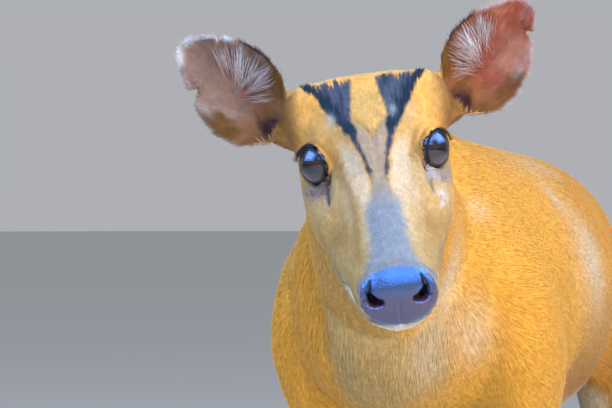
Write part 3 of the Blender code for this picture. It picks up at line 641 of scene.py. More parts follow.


# Markings, with painted light and shade
# The coat is golden orange, deeper on the flank, with a tan throat, pale belly and brown legs. Two black
# stripes run up the forehead ridges, a blue-grey band runs down the nose, and the ears are pink inside with
# dark and pale rims. Painted shade darkens the flank behind the upper arm, the creases and hollows, the
# nostrils and the ear canals; painted sheen and glints pale the coat, the wet skin by the eyes, the nose and
# the black stripes. These functions give the colour at any place, for the skin and for every tuft of hair.

GOLD = np.array((0.72, 0.350, 0.052))
DEEP_GOLD = np.array((0.68, 0.30, 0.035))
FLANK_BROWN_AND_SHADE = np.array((0.50, 0.255, 0.06))
LOW_FLANK_SHADE = np.array((0.37, 0.155, 0.028))
CREASE_SHADE_ORANGE = np.array((0.66, 0.29, 0.022))
BELLY = np.array((0.62, 0.50, 0.34))
THROAT = np.array((0.50, 0.335, 0.14))
LEG_BROWN = np.array((0.24, 0.13, 0.06))
TAIL_WHITE = np.array((0.82, 0.79, 0.75))
SHEEN_PALE = np.array((0.68, 0.55, 0.40))
COAT_PLAIN = (0.7, 0.4, 0.1)

NO_LEATHER = -9.0
LATTICE = 32
MOTTLE_SEED = 5
lattice = np.random.default_rng(MOTTLE_SEED).random((LATTICE, LATTICE, LATTICE)) * 2 - 1


def mottle(points, size):
    """Smooth noise from -1 to 1 with patches of about that size."""
    at = points / size
    cell = np.floor(at).astype(int)
    part = at - cell
    part = part * part * (3 - 2 * part)
    total = 0
    for corner in range(8):
        step = np.array((corner & 1, corner >> 1 & 1, corner >> 2 & 1))
        weight = np.prod(np.where(step, part, 1 - part), axis=1)
        index = (cell + step) % LATTICE
        total = total + weight * lattice[index[:, 0], index[:, 1], index[:, 2]]
    return total


def tint(colours, towards, share):
    """Moves each colour, or each vector, towards another by its own share."""
    return colours + (np.asarray(towards) - colours) * share[:, None]


def plain(colour, count):
    """One colour, for so many points."""
    return np.tile(colour, (count, 1))


# Painted sheen, paling the coat where light glances off it: the middle of each patch, how far it reaches and
# how pale it is
PAINTED_SHEEN_PATCHES = [
    ((106, 150, 420), (30, 42, 42), 0.75),
    ((84, 121, 467), (24, 14, 14), 0.6),
    ((55, -93, 400), (12, 14, 40), 0.9),
    ((37, -85, 356), (11, 14, 24), 0.5),
    ((64, -66, 372), (16, 18, 24), 0.55),
    ((66, -46, 457), (14, 14, 10), 0.35),
    ((54, 190, 492), (30, 90, 12), 0.35),
]
# Painted shade: the crease before the shoulder is coloured a darker, deeper orange
SHOULDER_CREASE = [(78, -44, 405), (78, -48, 385), (79, -49, 359), (76, -34, 326), (70, -26, 300)]


def body_colours(body, facing):
    """Colours of the neck, the body, the legs and the tail."""
    x, y, z = body.T
    patches = mottle(body, 35.0) * 0.5 + mottle(body, 11.0) * 0.5
    colours = plain(GOLD, len(body))
    back = smooth_step(z + 6 * patches, 470, 520) * smooth_step(y, -20, 80)
    colours = tint(colours, DEEP_GOLD, 0.55 * back)
    upper_flank = smooth_step(y + 8 * patches, 125, 200) * smooth_step(z, 395, 430)
    colours = tint(colours, DEEP_GOLD, 0.8 * upper_flank)
    # Behind the upper arm the flank is browner, and darker low down: partly its own colour, partly painted
    # shade
    behind_arm = smooth_step(y + 4 * patches, 103, 122)
    colours = tint(colours, FLANK_BROWN_AND_SHADE, 0.75 * behind_arm * smooth_step(-z + 10 * patches, -420, -350))
    colours = tint(colours, LOW_FLANK_SHADE, 0.75 * behind_arm * smooth_step(-z + 8 * patches, -368, -315))
    # Painted shade along the crease before the shoulder
    away, _ = away_from_line(body, SHOULDER_CREASE)
    colours = tint(colours, CREASE_SHADE_ORANGE, 0.8 * bell(away, 0, 4.0))
    throat = smooth_step(-facing[:, 1], 0.35, 0.8) * smooth_step(-np.abs(x - 8) + 6 * patches, -46, -34)
    colours = tint(colours, THROAT, 0.9 * throat * smooth_step(-y, 30, 70))
    under = smooth_step(-facing[:, 2], 0.45, 0.85) * smooth_step(-y, -470, -440) * smooth_step(z, 250, 280)
    colours = tint(colours, BELLY, 0.9 * under * smooth_step(y, 0, 60))
    inner_leg = smooth_step(-facing[:, 0] * np.sign(x), 0.1, 0.7) * smooth_step(y, 120, 200)
    inner_leg = inner_leg * smooth_step(z, 200, 260) * smooth_step(-z, -320, -280)
    colours = tint(colours, BELLY, 0.7 * inner_leg)
    colours = tint(colours, LEG_BROWN, 0.85 * smooth_step(-z + 12 * patches, -285, -190))
    colours = tint(colours, LEG_BROWN * 0.55, 0.7 * smooth_step(-z, -70, -30))
    # Painted sheen: the coat is paled where light glances off it
    for middle, reach, share in PAINTED_SHEEN_PATCHES:
        spread = np.exp(-np.sum(((body - middle) / reach) ** 2, axis=1))
        colours = tint(colours, SHEEN_PALE, share * spread * (1 + 0.25 * patches))
    on_tail = smooth_step(y, 500, 512)
    colours = tint(colours, TAIL_WHITE, 0.9 * on_tail * smooth_step(-facing[:, 1], -0.1, 0.4))
    return tint(colours, DEEP_GOLD * 0.8, 0.7 * on_tail * smooth_step(facing[:, 1], 0.1, 0.5))


# The face's colours
# Places are as seen from straight before the face: how far from the middle, and how high.

CROWN_GOLD = np.array((0.57, 0.345, 0.118))
FACE_TAN = np.array((0.50, 0.295, 0.105))
SIDE_ORANGE = np.array((0.72, 0.35, 0.075))
CROWN_TOP = np.array((0.78, 0.42, 0.12))
EAR_ROOT_BROWN = np.array((0.16, 0.075, 0.018))
CHEEK_PALE = np.array((0.60, 0.45, 0.25))
BROW_GREY = np.array((0.335, 0.262, 0.205))
PALE_FACE = np.array((0.60, 0.455, 0.335))
BEIGE = np.array((0.60, 0.42, 0.22))
SHADE_TAN = np.array((0.35, 0.205, 0.07))
CHEEK_GOLD = np.array((0.58, 0.32, 0.10))
HOLLOW_SHADE_BROWN = np.array((0.36, 0.205, 0.075))
WHISKER_PAD = np.array((0.46, 0.31, 0.13))
TEMPLE = np.array((0.25, 0.115, 0.032))
PINK_BROW = np.array((0.62, 0.38, 0.20))
STRIPE = np.array((0.014, 0.024, 0.042))
STRIPE_GREY = np.array((0.068, 0.078, 0.125))
BLUE_GLINT = np.array((0.36, 0.42, 0.52))
GREY_NOSE = np.array((0.215, 0.24, 0.30))
LEATHER = np.array((0.085, 0.052, 0.075))
BLUE_REFLECTED_LEATHER = np.array((0.035, 0.060, 0.14))
NOSTRIL_SHADE = np.array((0.022, 0.006, 0.012))
LIP_WHITE = np.array((0.72, 0.64, 0.54))
LIP_SPOT = np.array((0.085, 0.055, 0.12))
LID_DARK = np.array((0.018, 0.015, 0.018))
UNDER_EYE = np.array((0.31, 0.245, 0.235))
GLAND_DARK = np.array((0.045, 0.035, 0.065))
WET_GLINT = np.array((0.66, 0.76, 0.95))
LIP_SPOT_AT = (25.5, -89, -39.5)
# From the middle of the face out, at each height: the stripes' edges, and half the width of the nose's band
STRIPE_INNER = ((-18, -12, -1, 9.5, 15, 22, 29, 38, 45), (3.8, 3.4, 5.6, 8.0, 9.0, 11.0, 10.8, 8.2, 7.6))
STRIPE_OUTER = (
    (-18, -3, 8.5, 19, 24.5, 28, 32, 39.5, 46.6), (4.6, 7.6, 12.3, 18.3, 21.8, 24.5, 26.8, 31, 39)
)
STRIPE_TOP = 45.5
BRIDGE_HALF = ((-64, -55, -45, -36, -29, -22.5, -17, -13), (14.5, 11.6, 10.9, 10.5, 9.6, 6.0, 2.0, -1.0))
# The route of a band of painted shade in the hollow down each side of the snout
TAN_SHADE_ROUTE = [(26, 10), (23, -3), (19.9, -14), (15.9, -28), (16.4, -40), (17.5, -50), (18.5, -58)]


def face_colours(head, facing):
    """Colours of the head but for its ears, and how far inside the nose leather each point lies."""
    view = front_view(head)
    aside, up = np.abs(view[:, 0]), view[:, 1]
    right = view[:, 0] < 0
    ragged = 1.0 * mottle(head, 2.2) + 0.8 * mottle(head, 5.0)
    ahead = smooth_step(-head[:, 1], -30, 5)

    # The crown, the temples and the roots of the ears
    face = plain(CROWN_GOLD, len(head))
    face = tint(face, FACE_TAN, smooth_step(-up, -20, 8))
    face = tint(face, SIDE_ORANGE, 0.9 * smooth_step(aside, 20, 32) * smooth_step(up, -4, 14))
    face = tint(face, CROWN_TOP, smooth_step(up, 34, 43))
    face = tint(face, TEMPLE, 0.9 * smooth_step(aside, 38, 47) * smooth_step(up, 2, 14) * (head[:, 1] < 45))
    # Painted shade in a hollow above the right eye
    face = tint(face, HOLLOW_SHADE_BROWN, 0.9 * bell(aside, 35, 8) * bell(up, 16.5, 6) * right * ahead)
    for side in (1, -1):
        along, wide, _ = ear_reading(head, side)
        root = bell(along - 10 * smooth_step(wide, 0.3, 1.0), -2.0, 6.0) * (head[:, 0] * side > 34)
        root = root * smooth_step(wide, -0.5, 0.1) * smooth_step(-wide, -1.7, -1.4)
        face = tint(face, EAR_ROOT_BROWN, 0.85 * root)
    face = tint(face, CHEEK_GOLD * 0.75, 0.6 * bell(aside, 42, 6) * bell(up, 28, 8) * ~right)
    face = tint(face, PINK_BROW, 0.6 * bell(aside, 25, 6) * bell(up, 21, 8) * ahead)

    # The brow between the stripes, the pale cheeks and the throat
    inner = np.interp(up, *STRIPE_INNER)
    outer = np.interp(up, *STRIPE_OUTER)
    below_v = smooth_step(10.8 + 1.06 * aside - up + ragged, -2.0, 3.0)
    below_v = below_v * smooth_step(inner - aside + 1, -1, 1)
    face = tint(face, BROW_GREY, 0.88 * below_v * smooth_step(up, -40, -20))
    pale = smooth_step(aside - outer, 0, 3) * smooth_step(-aside, -24, -17) * smooth_step(-up, -12, 0)
    face = tint(face, CHEEK_PALE, 0.85 * pale * smooth_step(up, -62, -48))
    face = tint(face, PALE_FACE, 0.75 * pale * smooth_step(up, -40, -24))
    face = tint(face, BEIGE, 0.7 * bell(aside, 26, 4) * bell(up, -18, 14) * ahead)
    under_eye = bell(aside, 38, 7) * bell(up, -16.5, 5.0) * (head[:, 1] < 12)
    face = tint(face, BEIGE, 0.8 * bell(aside, 36, 7) * bell(up, -28, 9) * (head[:, 1] < 5))
    face = tint(face, CHEEK_GOLD, 0.8 * smooth_step(aside, 36, 43) * smooth_step(-up, 22, 30))
    # Painted shade in the hollows behind the whisker pads
    face = tint(face, HOLLOW_SHADE_BROWN, 0.65 * bell(aside, 25, 10) * bell(up, -45, 6.5))
    face = tint(face, WHISKER_PAD, 0.85 * smooth_step(-up, 50, 57) * smooth_step(-head[:, 1], 20, 50))
    # Painted shade: a darker tan band down each side of the snout, stronger on the right
    away, _ = away_from_line(np.column_stack((aside, up)), TAN_SHADE_ROUTE)
    face = tint(face, SHADE_TAN, np.where(right, 0.9, 0.35) * bell(away, 0, 3.2) * ahead)
    throat = smooth_step(-facing[:, 2], 0.35, 0.75) * smooth_step(-head[:, 2], 45, 62)
    face = tint(face, THROAT, 0.8 * throat * smooth_step(head[:, 1], -85, -70))

    # The grey band down the nose
    bridge = np.interp(up, *BRIDGE_HALF) - aside + ragged
    face = tint(face, GREY_NOSE, smooth_step(bridge, -3.5, 3.5) * smooth_step(-up, 12, 34) * ahead)

    # Bare skin under the eyes, and the scent glands, with painted glints where the skin by the left gland is
    # wet
    face = tint(face, UNDER_EYE, 0.85 * np.minimum(1.3 * under_eye, 1))
    specks = smooth_step(mottle(head, 2.2), 0.4, 0.55) * smooth_step(under_eye, 0.15, 0.5)
    face = tint(face, UNDER_EYE * 0.4, 0.6 * specks)
    away, share = away_from_line(np.column_stack((aside, up)), GLAND_SLIT)
    slit = bell(away, 0, mix(2.0, 0.9, share)) * (head[:, 1] < 2) * (head[:, 1] > -60)
    face = tint(face, GLAND_DARK, np.where(right, 0.95, 0.55) * slit)
    # Painted reflections: pale blue glints on the wet skin at the left gland and on the left cheek
    wet = bell(away, 0, 2.2) * bell(share, 0.05, 0.25) * (head[:, 1] < 0) * ~right
    face = tint(face, WET_GLINT, 0.6 * wet)
    glint_drops = bell(aside, 35, 3.2) * bell(up, -33, 5.5) * smooth_step(mottle(head, 3.2), -0.1, 0.25) * ~right
    face = tint(face, WET_GLINT, 0.65 * glint_drops)

    # The black stripes, streaked by single strands, a painted glint on each, and painted shade along the V
    # between them
    stripe = np.minimum(aside - inner, outer - aside)
    strands = 3.4 * mottle(head * (1, 0.12, 0.12), 1.1) + 2.4 * mottle(head * (1, 0.2, 0.2), 2.4)
    stripe = np.minimum(stripe, STRIPE_TOP + 3.5 * smooth_step(aside, 29, 35) - up + strands)
    stripe = smooth_step(stripe + 0.8 * ragged - 0.7 * smooth_step(-up, -16, -4), -1.7, 0.8)
    stripe = stripe * (up > -18.5) * (facing[:, 2] > -0.4) * smooth_step(strands - head[:, 1], -51, -45)
    grey_part = smooth_step(outer - aside + 1.2 * strands, 5, 11) * smooth_step(up, 16, 26)
    black = tint(plain(STRIPE, len(head)), STRIPE_GREY, np.maximum(grey_part, 0.35 * (up < 12)))
    black = tint(black, STRIPE, 0.6 * grey_part * smooth_step(strands, 0.2, 2.6))
    face = tint(face, black, stripe)
    # A painted reflection: a pale blue gleam on the black hair of each stripe
    patch = bell(aside, np.where(right, 22.0, 14.0), 2.4) * bell(up, np.where(right, 23.0, 24.0), 3.5)
    face = tint(face, BLUE_GLINT, 0.55 * patch)
    # Painted shade along the fold of the V
    for route in both_ways(V_FOLD):
        away, _ = away_from_line(view, route)
        face = tint(face, HOLLOW_SHADE_BROWN * 0.7, 0.6 * bell(away, 0, 0.8) * ahead)

    # The lips and the chin
    face = tint(face, LIP_WHITE, smooth_step(-head[:, 2], 55, 58) * smooth_step(-head[:, 1], 84, 94))
    as_left = head * np.where(right[:, None], (-1, 1, 1), (1, 1, 1))
    away, _ = away_from_line(as_left, MOUTH)
    lips = smooth_step(-head[:, 1], 74, 84)
    face = tint(face, LIP_WHITE, bell(away, 0, 3.6) * lips)
    shut = np.maximum(right, smooth_step(-head[:, 2], 48, 54))
    face = tint(face, LIP_SPOT, 0.9 * bell(away, 0, 1.0) * shut)
    spot = np.linalg.norm(as_left - LIP_SPOT_AT, axis=1)
    face = tint(face, LIP_SPOT, bell(spot, 0, 2.6) * right)

    # The nose leather
    leather = np.where(head[:, 1] < -84, nose_edge(view), NO_LEATHER)
    nose = plain(LEATHER, len(head))
    # Painted reflection: the top of the wet nose leather is tinted blue
    nose = tint(nose, BLUE_REFLECTED_LEATHER, smooth_step(up + 1.5 * ragged, -84, -74))
    # Painted shade inside the nostrils
    for route in both_ways(NOSTRIL):
        hole, _ = nostril_hole(view, route)
        nose = tint(nose, NOSTRIL_SHADE, hole)
    face = tint(face, nose, smooth_step(leather + 0.5 * ragged, -0.5, 0.5))

    # The rims of the lids, a painted glint on the wet lower lid of the left eye, and painted shade in the
    # crease above them
    for side in (1, -1):
        distance, turn, share = eye_reading(head, side)
        upper = smooth_step(np.sin(turn) + 0.6 * np.cos(turn), 0.2, 0.9)
        band = (0.17 if side < 0 else 0.04) * upper
        close = distance < 1.6 * EYE_RADIUS
        rim = (1 - smooth_step(share, 1.03 + band, 1.08 + 1.2 * band)) * close
        lower = bell(share, 1.12, 0.12) * smooth_step(-np.sin(turn), 0.1, 0.7) * close
        # Under the left eye, a painted glint on the wet lower lid
        lower_tone, strength = (WET_GLINT * 0.7, 0.4) if side > 0 else (UNDER_EYE * 0.4, 0.7)
        face = tint(face, lower_tone, strength * lower)
        face = tint(face, LID_DARK, rim)
        # Painted shade in the fold above the eye
        crease = bell(share, 1.42, 0.05) * smooth_step(np.sin(turn), 0.1, 0.6)
        face = tint(face, TEMPLE, 0.7 * crease * (distance < 1.9 * EYE_RADIUS))
    return face, leather


# The ears' colours
# Inside, thin pink skin under sparse hair, redder in the left ear; a brown patch at the lower margin,
# painted shade at the ear canal, and pale hair along the rims. Places are how far along the ear and how wide
# from -1 to 1.

EAR_PINK = np.array((0.265, 0.070, 0.043))
EAR_GREY = np.array((0.190, 0.126, 0.110))
EAR_LIGHT = np.array((0.43, 0.20, 0.145))
EAR_RED = np.array((0.20, 0.032, 0.018))
EAR_BROWN = np.array((0.145, 0.068, 0.015))
EAR_EARTH = np.array((0.20, 0.082, 0.022))
CANAL_SHADE = np.array((0.035, 0.010, 0.010))
EAR_DARK = np.array((0.045, 0.022, 0.018))
EAR_WHITE = np.array((0.60, 0.62, 0.72))
EAR_BACK = np.array((0.50, 0.27, 0.085))


def ear_colours(head, facing):
    """Colours of the ears, how far each point belongs to one, and how far it is inside a cup."""
    colours = plain(EAR_BACK, len(head))
    belongs = np.zeros(len(head))
    inside = np.zeros(len(head))
    for side in (1, -1):
        along, wide, beside = by_ear(head, side, 43)
        root_line = -2 + 10 * smooth_step(wide, 0.3, 1.0)
        near = smooth_step(along - root_line, -1.5, 2.5) * beside * (head[:, 1] > 15) * (along < 84)
        front = smooth_step(facing @ ear_opening(side), 0.0, 0.25)
        left = side > 0
        blotch = smooth_step(mottle(head, 8.0) + 0.5 * mottle(head, 2.5), -0.2, 0.6)
        blotch_tone = EAR_LIGHT if left else mix(EAR_LIGHT, EAR_GREY, 0.6)
        inner = tint(plain(EAR_PINK if left else EAR_GREY, len(head)), blotch_tone, 0.5 * blotch)
        light = bell(along, 44, 12) * bell(wide, -0.35, 0.3)
        inner = tint(inner, EAR_LIGHT if left else EAR_GREY * 1.3, 0.6 * light)
        red = 1.3 * bell(along, 41, 7) * bell(wide, 0.27, 0.16) + bell(along, 27, 5) * bell(wide, 0.05, 0.16)
        red = red + bell(along, 12, 8) * bell(wide, 0.05, 0.2)
        red = red + 0.5 * bell(along, 28, 6) * bell(wide, 0.42, 0.1)
        inner = tint(inner, EAR_RED, np.minimum(red * (0.85 if left else 0.65), 0.9))
        inner = tint(inner, EAR_EARTH * 0.9, (0.85 if left else 0.8) * smooth_step(-along, -28, -14))
        brown = smooth_step(-wide + 0.1 * mottle(head, 4.0), 0.55, 0.68)
        brown = brown * smooth_step(along, 14, 20) * smooth_step(-along, -46, -38)
        inner = tint(inner, EAR_EARTH * 0.8 if left else EAR_BROWN * 0.7, 0.95 * brown)
        # Painted shade where the ear canal opens
        canal = bell(along, 2.0, 5.5) * bell(wide, -0.3, 0.34)
        inner = tint(inner, CANAL_SHADE, np.minimum(2.2 * canal, 0.97))
        lower_rim = np.where(along < 46, 0.5 * smooth_step(-wide, 0.90, 0.97), smooth_step(-wide, 0.93, 1.0))
        outer_band = smooth_step(-wide, 0.66, 0.85) * smooth_step(along, 42, 50)
        lower_rim = np.maximum(lower_rim, (0.3 if left else 0.25) * outer_band)
        upper_rim = (0.55 if left else 1.0) * smooth_step(wide, 0.80, 0.90) * smooth_step(along, 44, 50)
        if left:
            tip_rim = 0.5 * smooth_step(along, 68, 76)
        else:
            tip_rim = smooth_step(along + 8 * np.abs(wide), 69, 76)
        patch = bell(along, 41, 5) * bell(wide, -0.75, 0.1)
        pale = np.maximum.reduce([lower_rim, upper_rim, tip_rim, 0.3 * patch])
        inner = tint(inner, EAR_WHITE, 0.8 * np.minimum(pale, 1))
        dark_rim = smooth_step(wide, 0.82 if left else 0.88, 0.93) * smooth_step(-along, -46, -42)
        inner = tint(inner, EAR_DARK, 0.95 * dark_rim)
        root_rim = smooth_step(wide, 0.62, 0.82) * smooth_step(-along, -26, -14)
        inner = tint(inner, EAR_ROOT_BROWN, 0.85 * root_rim)
        dark_back = smooth_step(wide, 0.5, 0.8) * (along < 45)
        back = tint(plain(EAR_BACK, len(head)), EAR_DARK, 0.85 * dark_back)
        back_rim = smooth_step(-wide, 0.85, 0.98) * np.where(along < 46, 0.3, 1.0)
        back_rim = np.maximum(back_rim, smooth_step(wide, 0.85, 0.95) * smooth_step(along, 46, 52))
        back = tint(back, EAR_WHITE * 0.9, 0.8 * np.maximum(tip_rim, back_rim))
        colours = tint(colours, tint(back, inner, front), near > belongs)
        belongs = np.maximum(belongs, near)
        inside = np.maximum(inside, near * front)
    return colours, belongs, inside


def markings_and_painted_light(points, facing):
    """The coat's colour at each place, with its painted light and shade, how far it is bare leather, and how
    far it is inside an ear.
    """
    body = to_body(points)
    head = to_head(points)
    head_facing = facing @ HEAD_AXES
    colours = body_colours(body, facing)
    face, leather = face_colours(head, head_facing)
    ears, belongs, inside_ear = ear_colours(head, head_facing)
    face = tint(face, ears, belongs)
    on_head = smooth_step((body - NAPE_POINT) @ NAPE_NORMAL + 8 * mottle(body, 20.0), -14, 14)
    colours = tint(colours, face, on_head)
    return np.clip(colours, 0, 1), np.where(on_head > 0.5, leather, NO_LEATHER), inside_ear * (on_head > 0.5)


def write_colours(mesh, name, colours):
    """Writes a colour for each point of the mesh, as an attribute of that name."""
    made = mesh.attributes.new(name, "FLOAT_COLOR", "POINT")
    with_alpha = np.column_stack((colours, np.ones(len(colours))))
    made.data.foreach_set("color", with_alpha.astype(np.float32).ravel())


points = places_of(skin.data)
normals = normals_of(skin.data)
skin_colours, skin_leather, _ = markings_and_painted_light(points, normals)
write_colours(skin.data, "marking_and_painted_light", skin_colours)


def fine_relief():
    """A node group that gives a normal roughened by fine noise."""
    group = bpy.data.node_groups.new("fine relief", "ShaderNodeTree")
    sockets = group.interface
    for name, start in (("Scale", 700.0), ("Strength", 0.35), ("Distance", 0.0003)):
        sockets.new_socket(name=name, in_out="INPUT", socket_type="NodeSocketFloat").default_value = start
    sockets.new_socket(name="Normal", in_out="OUTPUT", socket_type="NodeSocketVector")
    given = node(group, "NodeGroupInput").outputs
    place = node(group, "ShaderNodeTexCoord")
    noise = node(
        group, "ShaderNodeTexNoise", Vector=place.outputs["Object"], Scale=given["Scale"], Detail=3.0
    )
    bump = node(
        group, "ShaderNodeBump",
        Strength=given["Strength"], Distance=given["Distance"], Height=noise.outputs["Fac"]
    )
    node(group, "NodeGroupOutput", Normal=bump.outputs["Normal"])
    return group


RELIEF = fine_relief()


def take_colour(tree, shader, attribute):
    """Gives the shader the colour that a mesh carries in that attribute."""
    carried = node(tree, "ShaderNodeAttribute", attribute_name=attribute)
    tree.links.new(carried.outputs["Color"], shader.inputs["Base Color"])


def roughen(tree, shader, **values):
    """Gives the shader the fine relief."""
    relief = node(tree, "ShaderNodeGroup", node_tree=RELIEF, **values)
    tree.links.new(relief.outputs["Normal"], shader.inputs["Normal"])


hide, tree, shader = material("hide", COAT_PLAIN, 0.62, Specular_IOR_Level=0.05)
take_colour(tree, shader, "marking_and_painted_light")
roughen(tree, shader)

# The bare leather of the nose is wet and pebbled
wet_leather, tree, shader = material("wet leather", (0.05, 0.03, 0.05), 0.2, IOR=1.9)
shader.inputs["Specular Tint"].default_value = (0.35, 0.6, 1.0, 1.0)
take_colour(tree, shader, "marking_and_painted_light")
place = node(tree, "ShaderNodeTexCoord")
pebbles = node(tree, "ShaderNodeTexVoronoi", Vector=place.outputs["Object"], Scale=900.0)
bump = node(tree, "ShaderNodeBump", Strength=0.35, Distance=0.0003, Height=pebbles.outputs["Distance"])
tree.links.new(bump.outputs["Normal"], shader.inputs["Normal"])

skin.data.materials.clear()
skin.data.materials.append(hide)
skin.data.materials.append(wet_leather)
skin_corners = np.array([face.vertices[:] for face in skin.data.polygons])
bare = skin_leather[skin_corners].mean(axis=1) > 0
skin.data.polygons.foreach_set("material_index", bare.astype(np.int32))
skin.data.shade_smooth()

# The hide is laid out flat on its own shape, and each tuft's patch lies where its root is there
bpy.context.view_layer.objects.active = skin
skin.select_set(True)
skin.data.uv_layers.new(name="OFBake")
bpy.ops.object.mode_set(mode="EDIT")
bpy.ops.mesh.select_all(action="SELECT")
bpy.ops.uv.smart_project(angle_limit=math.radians(66), island_margin=0.002)
bpy.ops.object.mode_set(mode="OBJECT")

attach(skin, "root")
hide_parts(*FLESH)


# The eyes
# Large dark eyes: a ball with a slightly bulging cornea, dark brown with a level oval pupil, always wet. The
# lower half is browner, a painted reflection of the ground. A soft dark rim of bare lid, thick and moist,
# lies on the ball all round the opening.

EYE_RINGS = 40
EYE_SEGMENTS = 64
CORNEA_BULGE = 0.7
CORNEA_ANGLE = 34.0
RIM_RADIUS = 0.45
RIM_OUT = 0.35
RIM_BEYOND = 1.0
RIM_STATIONS = 84
RIM_SIDES = 8

PUPIL_HALF = (6.5, 3.6)
IRIS_EDGE = (9.8, 10.8)
BALL_DARK = (0.010, 0.007, 0.007)
IRIS_BROWN = (0.026, 0.013, 0.008)
PUPIL_BLACK = (0.002, 0.002, 0.003)
LOWER_REFLECTION_BROWN = (0.075, 0.046, 0.032)

eye_gloss, tree, shader = material("wet eye", (0.02, 0.012, 0.008), 0.04, IOR=1.8)
shader.inputs["Specular Tint"].default_value = (0.78, 0.7, 0.82, 1.0)
take_colour(tree, shader, "iris")
lid_skin, tree, shader = material("lid rim", tuple(LID_DARK * 0.7), 0.55, Specular_IOR_Level=0.3)
roughen(tree, shader, Scale=1500.0, Distance=0.0002)


def from_eye(turn, beyond):
    """The direction from the eye's centre to that many degrees beyond the edge of the lid at a turn."""
    angle = math.radians(open_angle(turn) + beyond)
    return math.cos(angle) * EYE_AXIS + math.sin(angle) * round_eye(turn)


for side_name, side in (("left", 1), ("right", -1)):
    form = bmesh.new()
    bmesh.ops.create_uvsphere(form, u_segments=EYE_SEGMENTS, v_segments=EYE_RINGS, radius=EYE_RADIUS)
    axes = np.array((EYE_BACK, EYE_UP, EYE_AXIS))
    for vert in form.verts:
        local = np.array(vert.co)
        angle = math.degrees(math.acos(max(-1, min(1, local[2] / EYE_RADIUS))))
        local = local * (1 + CORNEA_BULGE / EYE_RADIUS * math.exp(-((angle / CORNEA_ANGLE) ** 2)))
        vert.co = from_head((EYE_CENTRE + local @ axes) * (side, 1, 1))
    bmesh.ops.recalc_face_normals(form, faces=form.faces)
    eye = new_object(f"eyeball_{side_name}", form)
    local = (to_head(places_of(eye.data)) * (side, 1, 1) - EYE_CENTRE) @ axes.T
    pupil = 1 - smooth_step(np.hypot(local[:, 0] / PUPIL_HALF[0], local[:, 1] / PUPIL_HALF[1]), 0.85, 1.1)
    iris = 1 - smooth_step(np.hypot(local[:, 0], local[:, 1]), *IRIS_EDGE)
    tones = tint(plain(BALL_DARK, len(local)), IRIS_BROWN, iris * (0.75 + 0.25 * mottle(local, 1.2)))
    tones = tint(tones, PUPIL_BLACK, pupil)
    # Painted reflection: the lower half of the eye is browner, as if mirroring the ground
    tones = tint(tones, LOWER_REFLECTION_BROWN, 0.9 * smooth_step(-local[:, 1], 0.0, 6.0))
    write_colours(eye.data, "iris", tones)
    eye.data.materials.append(eye_gloss)
    eye.data.shade_smooth()
    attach(eye, "root")
    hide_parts(f"eye_{side_name}")

    form = bmesh.new()
    loops = []
    for k in range(RIM_STATIONS):
        turn = 2 * math.pi * k / RIM_STATIONS
        centre, ahead = (
            EYE_CENTRE + (EYE_RADIUS + RIM_OUT) * from_eye(t, RIM_BEYOND) for t in (turn, turn + 0.02)
        )
        out = (centre - EYE_CENTRE) / np.linalg.norm(centre - EYE_CENTRE)
        along = (ahead - centre) / np.linalg.norm(ahead - centre)
        across = np.cross(along, out)
        ring = bmesh.ops.create_circle(form, segments=RIM_SIDES, radius=RIM_RADIUS)["verts"]
        for vert in ring:
            local = centre + across * vert.co.x * 1.6 + out * vert.co.y * 0.8
            vert.co = from_head(local * (side, 1, 1))
        loops.append(list({edge for vert in ring for edge in vert.link_edges}))
    for first, second in zip(loops, loops[1:] + loops[:1]):
        bmesh.ops.bridge_loops(form, edges=first + second)
    bmesh.ops.recalc_face_normals(form, faces=form.faces)
    rim = new_object(f"lid_rim_{side_name}", form)
    rim.data.materials.append(lid_skin)
    rim.data.shade_smooth()
    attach(rim, "root")


# The coat
# Short hair, sleek and close: under 3 mm on the nose, 5 to 8 on the forehead, 10 on the body and 19 on the
# tail. Each tuft is a slim blade of two faces, widest a third of the way along, rooted in the skin, that
# lies in the direction of the coat.

COAT_SEED = 11
COVER = 2.0
TUFT_SHARE = 0.35
PIECE_TUFTS = 95000
PATCH = 0.0015
# Lengths and widths of the hair in millimetres
BODY_HAIR, LEG_HAIR, TAIL_HAIR, EAR_HAIR, EAR_RIM_HAIR = 10.5, 6.0, 19.0, 4.4, 1.3
NOSE_HAIR, FACE_HAIR, CROWN_HAIR, LID_HAIR = 2.6, 4.6, 8.0, 1.8
BODY_BREADTH, LEG_BREADTH, NOSE_BREADTH, FACE_BREADTH = 0.50, 0.42, 0.28, 0.36
# How much darker a tuft is at its root, and how much paler at its tip
TUFT_SHADE = np.array((0.80, 0.98, 0.98, 1.08))


def unit(vectors):
    return vectors / (np.linalg.norm(vectors, axis=1)[:, None] + 1e-12)


def square_to(vectors, axes):
    """The part of each vector that is square to its axis, which is a unit vector."""
    return vectors - axes * np.sum(vectors * axes, axis=1)[:, None]


